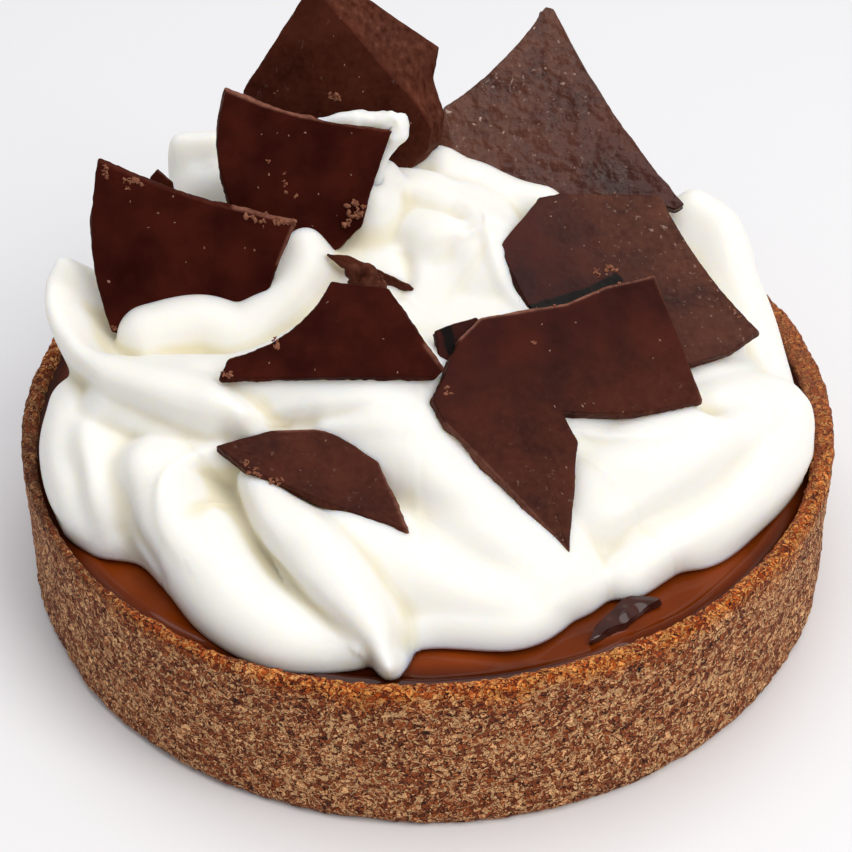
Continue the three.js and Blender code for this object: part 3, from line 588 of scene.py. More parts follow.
def caramel_finish():
    """Boiled sugar and butter: red-brown and wet-looking, with painted shade that goes nearly black at the
    wall.
    """
    material, add, place = new_material("poured_caramel", Roughness=0.08, IOR=1.46, Specular_IOR_Level=0.2)
    swirl = add("TexNoise", {"Vector": place, "Scale": pitch(12), "Detail": 3.0})["Fac"]
    body = add("Mix", {0: swirl, 6: linear("#2f0e04"), 7: linear("#963f0b")}, data_type="RGBA")[2]
    from_wall = add("Attribute", attribute_name="from_wall")["Fac"]
    # painted shade: darker towards the wall, nearly black against it
    painted_wall_shade = add("MapRange", {"Value": from_wall, **span(0.5, 3.0, 0.85, 0)})[0]
    colour = add("Mix", {0: painted_wall_shade, 6: body, 7: linear("#2a0803")}, data_type="RGBA")[2]
    return finished(material, Base_Color=colour)


add_piece(
    "caramel_filling", np.vstack([caramel_points, [0, 0, CARAMEL_UNDERSIDE], [0, 0, CARAMEL_LEVEL]]),
    capped_triangles(len(caramel_points) // CARAMEL_TURNS, CARAMEL_TURNS), caramel_finish(),
    "caramel", ["caramel"], from_wall=np.append(caramel_from_wall, [FAR_FROM_WALL, FAR_FROM_WALL]),
)

# %% [markdown]
# ## Whipped cream
# Soft cream keeps the mark of every stroke of the spoon. A sculptor would push a ball of clay about; here
# each stroke is a ball of changing radius swept along a curve through a few knots, and the heap is the
# outer skin of them all. An eye under the pie looks up along a disc of rays, and the skin is the farthest
# ball that each ray leaves, so the surface is one function of two parameters. Where two strokes meet, soft
# says how gently they melt.

# %% Strokes of the spoon
# name: softness, then knots of x, y, z and radius
STROKES = {
    "foot all round": (3, [
        [-41, 2.5, 19.5, 3], [-43, -6.5, 20.5, 3.4], [-41.5, -14, 20, 3.4], [-37, -21.5, 19.5, 3.2],
        [-30.5, -25, 19, 3], [-25, -33, 18, 2.8], [-19, -39, 18, 2.8], [-12.5, -41, 18, 2.8],
        [-6, -39.5, 18, 2.6], [0.5, -38, 18, 2.6], [8.5, -38, 18, 2.4], [14, -35, 18, 2.4],
        [21, -29.5, 18, 2.4], [24, -25.5, 18, 2.4], [28.5, -24, 18, 2.4], [31.5, -25.5, 18, 2.4],
        [36, -21, 18.5, 2.6], [41.5, -11, 19, 3], [42.5, -6.5, 19.5, 3], [41.5, 1.5, 20, 2.8],
        [38, 12, 20, 2.8], [31.5, 25, 20, 3.2], [20, 37, 20, 3.2], [0, 42, 20, 3.2], [-20, 36, 20, 3.2],
        [-31, 26, 20, 3.2], [-37, 14, 20, 3.2], [-41, 2.5, 19.5, 3],
    ]),
    "mass at the back": (6, [
        [33, 1, 18.5, 10], [28, 16, 21, 10.4], [17, 28, 22, 11], [0, 33, 23, 11.6], [-15, 28, 24, 12],
        [-24, 18, 22, 10.4], [-29, 6, 17, 9],
    ]),
    "mass at the front": (6, [
        [-28, -13, 17, 10], [-18, -26, 14, 10], [0, -27, 14, 10], [14, -22, 16, 10], [24, -14, 18, 10],
        [33, -5, 19, 9.6],
    ]),
    "mass in the middle": (6, [[-18, 8, 24, 12], [-4, 10, 25, 13], [14, 8, 24, 13]]),
    "front slope": (6, [[-18, -8, 20, 14], [0, -8, 20, 15.6], [14, -6, 20, 14]]),
    "left lobe": (3, [
        [-41.5, -5.5, 24.5, 4.6], [-40.5, -11, 23, 6], [-38.5, -17.5, 21.5, 6.2], [-36.5, -21.5, 19.5, 4.6],
    ]),
    "swell beside the lobe": (3, [[-35.5, -12.5, 23.5, 5], [-35, -19, 22, 5]]),
    "thin collar": (1.2, [
        [-44.5, 7.5, 37.5, 0.8], [-45.5, 5.5, 35, 1.2], [-45, 2, 33.5, 1.4], [-43, -2, 32.5, 1.6],
        [-40.5, -5.5, 32.5, 1.6], [-36.5, -8, 32.5, 1.8], [-31.5, -11, 33, 2], [-26.5, -13.5, 33.5, 2],
        [-23.5, -16, 34.5, 1.6], [-21.5, -17.5, 34.5, 1],
    ]),
    "band across the middle": (3, [
        [-33, -7, 30, 3.6], [-25.5, -9.5, 31, 4.4], [-12.5, -11.5, 31.5, 4.6], [-2.5, -10.5, 31.5, 4.8],
        [5, -7, 27.5, 5],
    ]),
    "sheet under the band": (2, [[-11, -15.5, 31.5, 2.4], [-6, -15.5, 31, 3], [-1.5, -15.5, 30.5, 3.4]]),
    "roll inside the collar": (2.2, [
        [-33.5, 0, 31.5, 4.2], [-27.5, 1.5, 32, 4.6], [-22.5, 0.5, 31.5, 4.2], [-17.5, 4, 34, 4],
        [-15, 7, 37, 3.4], [-15, 8.5, 38.5, 2.8],
    ]),
    "outer roll at the front left": (3, [
        [-25.5, -16.5, 28.5, 4], [-29, -17, 27, 4.6], [-30.5, -20, 25.5, 5.2], [-29, -24.5, 24, 5.4],
        [-25.5, -29.5, 22.5, 5.4], [-21.5, -35, 21, 5.2], [-16.5, -39, 20.5, 4.6], [-12, -40, 20, 4],
        [-8.5, -41, 20.5, 3],
    ]),
    "smooth face beside the blade": (4, [
        [-9, -28, 21.5, 7], [-3.5, -29, 20, 7.6], [2.5, -30.5, 18.5, 8], [9, -33, 17.5, 7],
    ]),
    "blade that ends in a drip": (1.6, [
        [-20.5, -22, 27.5, 2.2], [-17.5, -27, 27, 3.2], [-13.5, -31.5, 26.5, 3.8], [-9.5, -36.5, 25, 3.6],
        [-6.4, -40.5, 23.5, 2.4], [-5.2, -43.5, 22.5, 1.2], [-4.3, -46, 22, 0.6],
    ]),
    "ridge down the front": (4, [
        [-6, -15, 28.5, 5], [-2.5, -17, 27, 6], [3, -20.5, 24.5, 6.4], [10, -25.5, 21, 6.2],
        [15, -30, 19.5, 5],
    ]),
    "lip at the right": (3, [
        [23, -29, 19, 3.4], [26.5, -25.5, 20, 3.8], [32.5, -21, 20.5, 4.2], [38.5, -15.5, 21, 4.2],
        [43, -10, 22, 3.4], [43, -6.5, 23.5, 2.6],
    ]),
    "fold at the right": (4, [
        [21, -19.5, 21, 6.4], [26.5, -15.5, 22.5, 7.4], [34.5, -10.5, 22.5, 7.4], [41.5, -5, 23, 5],
    ]),
    "tower at the back left": (1.2, [[-31, 24.5, 42.5, 1.6], [-30, 24, 39.5, 2.8], [-27, 21.5, 37, 5.4]]),
    "top of the tower": (0.8, [[-30.6, 24.3, 42.1, 1.9], [-28.2, 24.6, 42.3, 1.9], [-25.5, 25, 42, 2.1]]),
    "crest of the tower": (0.8, [[-26, 25, 41.5, 2.2], [-25.5, 24, 39, 3.4]]),
    "cream behind the upper left shard": (2, [[-5.5, 18, 42.5, 2.2], [-7, 16, 39.5, 4]]),
    "top lump": (2, [
        [-3, 24.5, 38.6, 2.4], [1, 25, 40, 2.6], [4, 23, 38.5, 3.6], [9, 20.5, 37.5, 3.8],
        [14, 18, 37.5, 3.4],
    ]),
    "top ridge": (2.5, [[-5, 19.5, 38.4, 3.4], [0, 17.5, 38.4, 3.4], [3.5, 15, 38.5, 2.6]]),
    "block cut by the spoon": (0.8, [
        [1.5, 13.5, 33, 8], [5, 14, 33.5, 8], [7, 9.5, 31.5, 8], [2.5, 9.5, 30, 8],
    ]),
    "edge at the back right": (2.5, [
        [33.5, 21.5, 34.5, 3], [36, 20, 33, 3.4], [37, 18, 31, 3.8], [38, 14.5, 28.5, 3.8],
        [40, 9.5, 25, 3.8], [41.5, 3.5, 22, 3.6], [42, 0, 21.5, 3.2],
    ]),
    "bed of the middle shard": (4, [[-18, -9, 31, 5], [-9, -5.5, 34, 5.2], [-2, -9, 31, 4.4]]),
    "bed of the right shard": (4, [[18, 14, 33, 5.2], [25, 10, 31, 5.2], [33, 4, 26.5, 5]]),
    "bed of the back right shard": (4, [[4, 27, 33, 5], [14, 29, 33, 5], [22, 23, 31.5, 5]]),
    "bed of the tall shard": (4, [[-20, 26, 34, 5], [-8, 25, 34.5, 5]]),
    "first fold of the back": (2.5, [[-33, 17, 26, 5], [-24, 29, 25, 5.6], [-9, 38, 22, 5]]),
    "second fold of the back": (2.5, [[-12, 31, 31, 5.6], [4, 36, 27, 5.6], [17, 37, 22, 4.4]]),
    "third fold of the back": (2.5, [[16, 31, 31, 5], [27, 27, 26, 5], [36, 17, 22.5, 4.4]]),
    "collar foot": (3, [[-36.5, -8.5, 29.5, 4.4], [-30.5, -11.5, 30, 4.6], [-25, -14.5, 31.5, 3.4]]),
}
print(len(STROKES), "strokes")

# %% [markdown]
# ### Touches of the spoon
# Where the spoon only grazed the cream it left a crease, a shallow valley or a small step. A touch is a
# curve on the skin with a height at every knot; the skin moves out or in by that height times
# exp(-(distance / width)^2), and the width may differ on the two sides of the curve, so that one side of a
# fold is steep and the other soft.

# %% Touches
# name: width on the left of the way and on the right, then knots of x, y, z and height
TOUCHES = {
    "crease between lobe and roll": (1.4, 1.6, [
        [-35, -21.5, 28, -0.1], [-34.3, -25.5, 26, -0.8], [-33.4, -27.4, 24.4, -1.4],
        [-32.1, -29.6, 23.6, -1.5], [-30.7, -31.5, 22.2, -0.9],
    ]),
    "fill between lobe and roll": (3, 3, [
        [-34.8, -15.1, 28.3, 0.7], [-33.9, -20.7, 29.3, 1.1], [-33.2, -24.6, 28.2, 0.3],
    ]),
    "turn of the roll": (2.6, 0.9, [
        [-24.8, -19.5, 30.8, 0.6], [-27.5, -20.4, 30.2, 0.9], [-29.8, -23.5, 29.8, 0.9],
        [-30.4, -26.3, 28.9, 0.7], [-29.9, -29.5, 27.3, 0.5], [-27.8, -32.8, 26.1, 0.2],
    ]),
    "hollow inside the turn": (2, 2, [
        [-24.9, -21, 28, -0.5], [-26.4, -26.4, 28.8, -0.9], [-25.3, -30.2, 27.9, -0.4],
    ]),
    "lip of the collar": (2.2, 0.6, [
        [-42.7, -4.1, 33.7, 0.2], [-39.4, -8.7, 33.4, 0.4], [-35.5, -11.7, 33.7, 0.5],
        [-31.3, -14.2, 33.8, 0.6], [-27.2, -16.5, 33.9, 0.6], [-22.9, -18, 33.3, 0.6],
    ]),
    "shade on the lobe": (1.8, 1.6, [
        [-42.5, -11, 28.5, -0.3], [-43, -15.5, 27.5, -0.7], [-41.5, -19.5, 26.5, -0.8],
        [-40.5, -23, 24, -0.6], [-39, -25, 22, -0.3],
    ]),
    "trough under the collar": (0.8, 2.8, [
        [-42.1, -5.7, 31.1, -0.5], [-39.4, -10.3, 32.1, -0.9], [-36, -12.9, 32.2, -1.1],
        [-32.1, -15.3, 32.2, -1.2], [-27, -18.1, 32.2, -1.2], [-23.6, -18.6, 31.8, -0.8],
    ]),
    "valley beside the roll": (1.3, 5.0, [
        [-23.5, -21, 27, -0.7], [-20.5, -27.5, 28, -1.2], [-18.5, -31, 25.5, -1.4], [-16, -36, 24.5, -1.3],
        [-12.5, -40, 24, -1.1], [-9.5, -43, 23, -0.6],
    ]),
    "small step in the valley": (0.8, 1.6, [
        [-18.5, -31, 26.5, 0.2], [-17, -32.5, 24, 0.6], [-14.5, -36.5, 24.5, 0.6],
        [-11.5, -39.5, 25.5, 0.2],
    ]),
    "hollow under the first shard": (2.4, 2.4, [
        [-26, -20.5, 28.5, -0.4], [-24, -21.5, 26.5, -0.9], [-21.5, -25.5, 27.5, -0.5],
    ]),
    "crease under the band": (0.7, 1.6, [
        [-20.5, -18, 34, -0.5], [-16, -16, 32.5, -0.9], [-12, -16.5, 34, -0.9], [-9, -16.5, 34.5, -0.6],
        [-6.5, -16.5, 35, -0.1],
    ]),
    "valley below the ridge": (2.4, 3, [
        [-2, -26, 27, -0.4], [1, -30, 27, -1.1], [5.5, -32.5, 26, -1.1], [10.5, -33.5, 24.5, -0.4],
    ]),
    "valley right of the blade": (1.6, 2.2, [
        [-7.5, -36, 27.5, -0.2], [-5, -39.5, 26, -0.5], [-3, -41.5, 23.5, -0.6], [-2, -42, 21.5, -0.3],
    ]),
    "valley at the right": (2.4, 2.2, [
        [18.5, -29, 23.5, -0.3], [24.5, -26, 24, -0.7], [30.5, -23, 25, -1.1], [34, -20.5, 25.5, -1.2],
        [37.5, -16.5, 26.5, -1.0], [39.5, -13, 27.5, -0.4],
    ]),
    "line under the front shard": (0.5, 1.4, [
        [18, -16, 29.5, -0.3], [21.5, -16.5, 29.5, -0.5], [26, -17, 30, -0.4], [29.5, -15.5, 30, -0.3],
    ]),
    "hollow by the front shard": (1.6, 1.6, [
        [32.5, -9, 30, -1.2], [34.5, -10.5, 30, -2.2], [37, -9.5, 29.5, -0.8],
    ]),
    "pit in the top": (1.0, 1.0, [[3, 14, 41.5, -0.4], [4, 12.5, 41.5, -0.5], [4.5, 12, 41, -0.3]]),
    "second pit in the top": (1.0, 1.0, [[3.5, 10, 40.5, -0.4], [4.5, 10, 40.5, -0.5], [5, 9.5, 40, -0.3]]),
    "crease left of the block": (1.0, 1.2, [
        [-3, 10, 38.5, -0.4], [-2.5, 7, 37.5, -0.9], [-2.5, 5, 37, -0.9], [-3.5, 3, 36, -0.5],
    ]),
    "valley behind the block": (1.2, 1.2, [
        [-5, 16, 43.5, -0.3], [-2.5, 16, 41.5, -0.8], [2.5, 13.5, 41.5, -0.9], [5, 11, 41, -0.5],
    ]),
    "top edge of the block": (0.7, 3, [
        [7, 10, 40.5, 0.6], [4, 9.5, 40, 0.7], [1, 9, 39.5, 0.6], [-2.5, 9, 38.5, 0.2],
    ]),
    "right edge of the block": (2.6, 0.6, [
        [7, 9.5, 40.5, 0.6], [7.5, 7, 39.5, 0.8], [8.5, 4, 37, 0.8], [11, 1, 35.5, 0.5],
    ]),
    "mark on the tower": (1.3, 1.3, [[-29.5, 25, 43, 0.3], [-28, 24, 42.5, 0.2], [-28, 21, 42.5, -0.6]]),
    "hollow before the back right shard": (2.6, 2.2, [
        [-1, 26, 41.5, -0.6], [2.9, 24.5, 40.2, -1.6], [6.5, 22.5, 39.3, -1.2], [11.4, 20.7, 38.7, -1.7],
        [15, 19.6, 38.3, -0.8],
    ]),
    "fill before the top lump": (1.8, 1.8, [
        [-3.5, 21.5, 40, 0.6], [0, 20.5, 40.5, 1.0], [4, 18.5, 40, 1.0], [8.5, 16.5, 39, 0.6],
    ]),
    "ridge on the lobe": (1.4, 1.4, [
        [-40.5, -13.5, 29, 0.3], [-39.5, -18.5, 28, 0.6], [-38.5, -22.5, 26, 0.6],
        [-37.5, -24.5, 23.5, 0.3],
    ]),
    "edge of the blade": (2.4, 0.7, [
        [-20.5, -25, 29.5, 0.2], [-19.5, -28, 29.5, 0.5], [-17.5, -31.5, 29, 0.6], [-16, -34, 28, 0.3],
        [-14, -36.5, 27, 0.6], [-11.5, -39, 26.5, 0.5], [-8, -42, 24.5, 0.3], [-6, -43.5, 24, 0.1],
    ]),
    "second valley at the right": (2.0, 2.0, [
        [18, -23.5, 26.5, -0.2], [21.5, -23, 27, -0.4], [25.5, -21.5, 27.5, -0.4], [30.5, -19, 28, -0.2],
    ]),
    "ridge line down the front": (2.6, 2.2, [
        [-4, -20.5, 32, 0.2], [0, -23.5, 30, 0.4], [5.5, -28, 27.5, 0.5], [11, -32, 25, 0.3],
        [14.5, -34, 23.5, 0.1],
    ]),
}
print(len(TOUCHES), "touches")

# %% Swept strokes
CREAM_EYE = np.array([0, 0, -25.0])
BALL_STEP = 0.16
MISS_SLOPE = 2.5


def smooth_curve(knots, steps):
    """A Catmull-Rom curve through the knots, with so many steps on each stretch between two of them."""
    ends = np.vstack([2 * knots[0] - knots[1], knots, 2 * knots[-1] - knots[-2]])
    stretches = []
    for a, b, c, d, count in zip(ends, ends[1:], ends[2:], ends[3:], steps):
        t = np.linspace(0, 1, count, endpoint=False)[:, None]
        cubic = (3 * b - a - 3 * c + d) * t**3 + (2 * a - 5 * b + 4 * c - d) * t**2
        stretches.append(0.5 * (2 * b + (c - a) * t + cubic))
    return np.vstack([*stretches, knots[-1:]])


def swept_balls(knots):
    """A smooth curve through knots of centre and radius, in steps under BALL_STEP of the smaller radius."""
    knots = np.array(knots, float)
    gaps = np.linalg.norm(np.diff(knots[:, :3], axis=0), axis=1)
    smaller = np.minimum(knots[:-1, 3], knots[1:, 3])
    return smooth_curve(knots, np.ceil(gaps / (BALL_STEP * smaller)).astype(int))


def stroke_reach(rays, balls):
    """How far from the eye each ray leaves the swept ball; a ray that misses falls away with the distance."""
    farthest = np.full(len(rays), -1e6)
    for *centre, radius in balls:
        toward = np.array(centre) - CREAM_EYE
        along = rays @ toward
        away = np.sqrt(np.maximum(toward @ toward - along**2, 0))
        skin = np.sqrt(np.maximum(radius**2 - away**2, 0))
        farthest = np.maximum(farthest, along + skin - MISS_SLOPE * np.maximum(away - radius, 0))
    return farthest


swept_strokes = [(soft, swept_balls(knots)) for soft, knots in STROKES.values()]


def cream_reach(rays):
    """The farthest stroke along each ray; two strokes closer than soft melt by (soft - gap)^2 / (4 soft)."""
    reach = np.zeros(len(rays))
    for soft, balls in swept_strokes:
        other = stroke_reach(rays, balls)
        overlap = np.maximum(soft - np.abs(reach - other), 0)
        reach = np.maximum(reach, other) + overlap**2 / (4 * soft)
    return reach


print(sum(len(balls) for _, balls in swept_strokes), "balls in the strokes")

# %% Rays to the skin
CREAM_FOOT = CARAMEL_LEVEL + 0.5
CREAM_GRID = 308
FOOT_DIRECTIONS = 360
# leans in degrees between which the cream comes down to the caramel, and in how many steps to look
FOOT_SEARCH = (25, 56, 94)


def ray_directions(angle, lean):
    """Unit rays from the eye: angle goes round Z, lean is measured from straight up."""
    return np.stack([np.cos(angle) * np.sin(lean), np.sin(angle) * np.sin(lean), np.cos(lean)], axis=-1)


def foot_leans(count):
    """For a ring of directions, the lean at which the cream comes down to the caramel."""
    angle = np.linspace(0, 2 * np.pi, count, endpoint=False)
    lean = np.radians(np.linspace(*FOOT_SEARCH))
    rays = ray_directions(*np.meshgrid(angle, lean, indexing="ij")).reshape(-1, 3)
    height = (CREAM_EYE[2] + rays[:, 2] * cream_reach(rays)).reshape(count, -1)
    last = len(lean) - 1 - np.argmax((height > CREAM_FOOT)[:, ::-1], axis=1)
    last = np.minimum(last, len(lean) - 2)
    each = np.arange(count)
    share = (height[each, last] - CREAM_FOOT) / (height[each, last] - height[each, last + 1])
    foot = lean[last] + share * (lean[1] - lean[0])
    return angle, (np.roll(foot, 1) + 2 * foot + np.roll(foot, -1)) / 4


def disc_places(size):
    """A square grid laid on a disc: squares become rings, so no points crowd round a pole."""
    u, v = np.meshgrid(np.linspace(-1, 1, size), np.linspace(-1, 1, size), indexing="ij")
    wide = np.abs(u) > np.abs(v)
    share = np.where(wide, np.abs(u), np.abs(v))
    with np.errstate(divide="ignore", invalid="ignore"):
        side = np.where(u > 0, 0, np.pi) + np.pi / 4 * v / u
        tall = np.where(v > 0, 0.5, 1.5) * np.pi - np.pi / 4 * u / v
    return share.ravel(), np.where(share == 0, 0, np.where(wide, side, tall)).ravel()


foot_angle, foot_lean = foot_leans(FOOT_DIRECTIONS)
low_lean, high_lean = np.degrees([foot_lean.min(), foot_lean.max()])
print(f"the cream's foot lies {low_lean:.0f} to {high_lean:.0f} degrees from straight up")

# %% Touches on the skin
TOUCH_STEPS = 12
TOUCH_REACH = 40


def blurred(grid, passes):
    """So many passes of (1, 2, 1) / 4 along both directions of a grid."""
    for _ in range(passes):
        wide = np.pad(grid, 1, mode="edge")
        rows = (wide[:-2, 1:-1] + 2 * wide[1:-1, 1:-1] + wide[2:, 1:-1]) / 4
        wide = np.pad(rows, 1, mode="edge")
        grid = (wide[1:-1, :-2] + 2 * wide[1:-1, 1:-1] + wide[1:-1, 2:]) / 4
    return grid


def touch_height(points, rays, left, right, knots):
    """How far a touch moves points along their rays: height exp(-(distance / width)^2), per side of it."""
    knots = np.array(knots, float)
    curve = smooth_curve(knots, [TOUCH_STEPS] * (len(knots) - 1))
    near = np.linalg.norm(points - knots[:, :3].mean(axis=0), axis=1) < TOUCH_REACH
    gaps = np.linalg.norm(points[near][:, None] - curve[None, :, :3], axis=2)
    nearest = gaps.argmin(axis=1)
    way = np.gradient(curve[:, :3], axis=0)[nearest]
    side = np.einsum("ij,ij->i", np.cross(way, points[near] - curve[nearest, :3]), rays[near])
    width = np.where(side > 0, left, right)
    height = np.zeros(len(points))
    height[near] = curve[nearest, 3] * np.exp(-((gaps.min(axis=1) / width) ** 2))
    return height


softest = max(max(left, right) for left, right, _ in TOUCHES.values())
print(f"the softest touch is {softest:.0f} mm wide on one side")

# %% Skin of the cream
CREAM_INSET = 0.6
CREAM_SWELL = 0.9
SWELL_START = CRUST_TOP + 0.35
SWELL_END = CRUST_TOP + 1.75
CREAM_BLURS = 3
HOLLOW_BLURS = 40
DRIP_PLACE = -4.5
DRIP_WIDTH = 0.8
DRIP_REACH = 1.8


def cream_surface():
    """The skin of all strokes on a disc of rays, kept inside the rim and down to the caramel: points, and how
    far each lies below the skin's blurred level."""
    share, angle = disc_places(CREAM_GRID)
    lean = share * np.interp(angle, foot_angle, foot_lean, period=2 * np.pi)
    rays = ray_directions(angle, lean)
    reach = blurred(cream_reach(rays).reshape(CREAM_GRID, CREAM_GRID), CREAM_BLURS)
    points = CREAM_EYE + rays * reach.reshape(-1, 1)
    moved = sum(touch_height(points, rays, *touch) for touch in TOUCHES.values())
    points += rays * moved[:, None]
    points[:, 2] = np.maximum(points[:, 2], CREAM_FOOT)
    x, y, height = points.T
    above_rim = smooth_step(height, SWELL_START, SWELL_END)
    drip = DRIP_REACH * np.exp(-(((x - DRIP_PLACE) / DRIP_WIDTH) ** 2)) * (y < 0)
    limit = crust_inside(np.arctan2(y, x)) - CREAM_INSET + (CREAM_SWELL + drip) * above_rim
    points[:, :2] *= np.minimum(1, limit / np.maximum(np.hypot(x, y), 1e-6))[:, None]
    skin = reach + moved.reshape(reach.shape)
    return points, (blurred(skin, HOLLOW_BLURS) - skin).ravel()


def cream_triangles():
    """The grid's cells, split along the diagonal that runs towards the middle, and a flat underside."""
    number = np.arange(CREAM_GRID**2).reshape(CREAM_GRID, CREAM_GRID)
    a, b = number[:-1, :-1].ravel(), number[1:, :-1].ravel()
    c, d = number[1:, 1:].ravel(), number[:-1, 1:].ravel()
    middle = np.arange(CREAM_GRID - 1) - (CREAM_GRID - 2) / 2
    alike = (middle[:, None] * middle >= 0).ravel()
    first = np.column_stack([a, b, np.where(alike, c, d)])
    second = np.column_stack([np.where(alike, a, b), c, d])
    edge = np.concatenate([number[:-1, 0], number[-1, :-1], number[:0:-1, -1], number[0, :0:-1]])
    return np.concatenate([first, second, fan_triangles(edge[::-1], CREAM_GRID**2)])


cream_skin, cream_hollow = cream_surface()
print(f"cream reaches {cream_skin[:, 2].max():.1f} mm up, hollows are {cream_hollow.max():.1f} mm deep")

# %% [markdown]
# ### Finish of the cream
# Whipped cream is fat and air: light goes in, scatters for a millimetre or two and comes out again, so
# shadows turn soft and a little yellow. Subsurface scattering does that in the shader, and the hollows get
# painted shade as well, a darker yellow mixed in by how deep they lie. The skin has a satin sheen and is
# never quite even, so a weak bump adds faint swells and finer dimples.

# %% Cream finish
def whipped_cream():
    """Fat foam: near white, with painted yellow shade in the hollows, a satin skin and faint swells."""
    material, add, place = new_material(
        "whipped_cream", Roughness=0.42, Specular_IOR_Level=0.35,
        Subsurface_Weight=1.0, Subsurface_Scale=2.2 * MM, Subsurface_Radius=(1.0, 0.85, 0.6),
    )
    hollow = add("Attribute", attribute_name="hollow")["Fac"]
    # painted shade: hollows are mixed towards a darker yellow
    deep = add("MapRange", {"Value": hollow, **span(0.12, 0.85)})[0]
    colour = add("Mix", {0: deep, 6: linear("#f3f1eb"), 7: linear("#e9e2ca")}, data_type="RGBA")[2]
    swells = add("TexNoise", {"Vector": place, "Scale": pitch(3.5), "Detail": 3.0})["Fac"]
    bump = add("Bump", {"Height": swells, "Strength": 0.25, "Distance": 0.3 * MM})["Normal"]
    return finished(material, Base_Color=colour, Normal=bump)


soft_cream = whipped_cream()
add_piece(
    "cream_heap", np.vstack([cream_skin, [0, 0, CREAM_FOOT]]), cream_triangles(), soft_cream,
    "whipped_cream", ["cream"], hollow=np.append(cream_hollow, 0),
)

# %% [markdown]
# ### The curl behind a shard
# The last pull of the spoon drew the cream out into a thin curl that hooks over behind the upper left
# shard. A heap seen from one eye can't overhang like that, so the curl is a tube of its own: a ring of
# points carried along a curve through a few knots, with a radius at every knot, and its root sunk in the
# heap.

# %% The curl
CURL_KNOTS = [
    [-13.4, 19.8, 49.6, 0.4], [-9.5, 19.8, 49.5, 1.1], [-6.4, 19.7, 49.6, 1.4], [-4.0, 18.9, 50.0, 1.4],
    [-3.8, 18.2, 48.7, 1.0], [-5.0, 17.3, 46.9, 0.7], [-5.9, 16.4, 44.9, 0.6], [-6.5, 15.6, 42.6, 0.9],
]
CURL_TURNS = 28
CURL_LUMPS = (0.45, 0.12)


def tube(knots, turns):
    """Rings round a smooth curve: each ring stands square to the curve and is as wide as the curve says."""
    balls = swept_balls(knots)
    along = np.gradient(balls[:, :3], axis=0)
    along /= np.linalg.norm(along, axis=1, keepdims=True)
    side = np.cross(along, [0.0, 1.0, 0.0])
    side /= np.linalg.norm(side, axis=1, keepdims=True)
    over = np.cross(side, along)
    angle = np.linspace(0, 2 * np.pi, turns, endpoint=False)[:, None]
    ring = np.cos(angle) * side[:, None] + np.sin(angle) * over[:, None]
    points = (balls[:, None, :3] + balls[:, None, 3:] * ring).reshape(-1, 3)
    slow, quick = CURL_LUMPS
    lumps = slow * noise(points, 2.2, seed=51) + quick * noise(points, 0.9, seed=53)
    points += np.repeat(balls[:, 3], turns)[:, None] * ring.reshape(-1, 3) * lumps[:, None]
    tips = [balls[0, :3] - balls[0, 3] * along[0], balls[-1, :3] + balls[-1, 3] * along[-1]]
    return np.vstack([points, tips]), capped_triangles(len(balls), turns)


curl_points, curl_triangles = tube(CURL_KNOTS, CURL_TURNS)
add_piece(
    "cream_curl", curl_points, curl_triangles, soft_cream, "whipped_cream", hollow=np.zeros(len(curl_points))
)

# %% [markdown]
# ## Chocolate shards
# Dark chocolate was poured thin on a tray and snapped. A shard is a flat plate with straight or bowed
# edges, a smooth face and rough snapped sides. Extruding an outline would give clean edges, so instead the
# plate is a grid: one parameter runs round the outline, the other from a hub on the front face out to the
# edge, down the snapped side and back to the hub behind. Noise along the outline makes the nicks, and noise
# on the side the fracture.

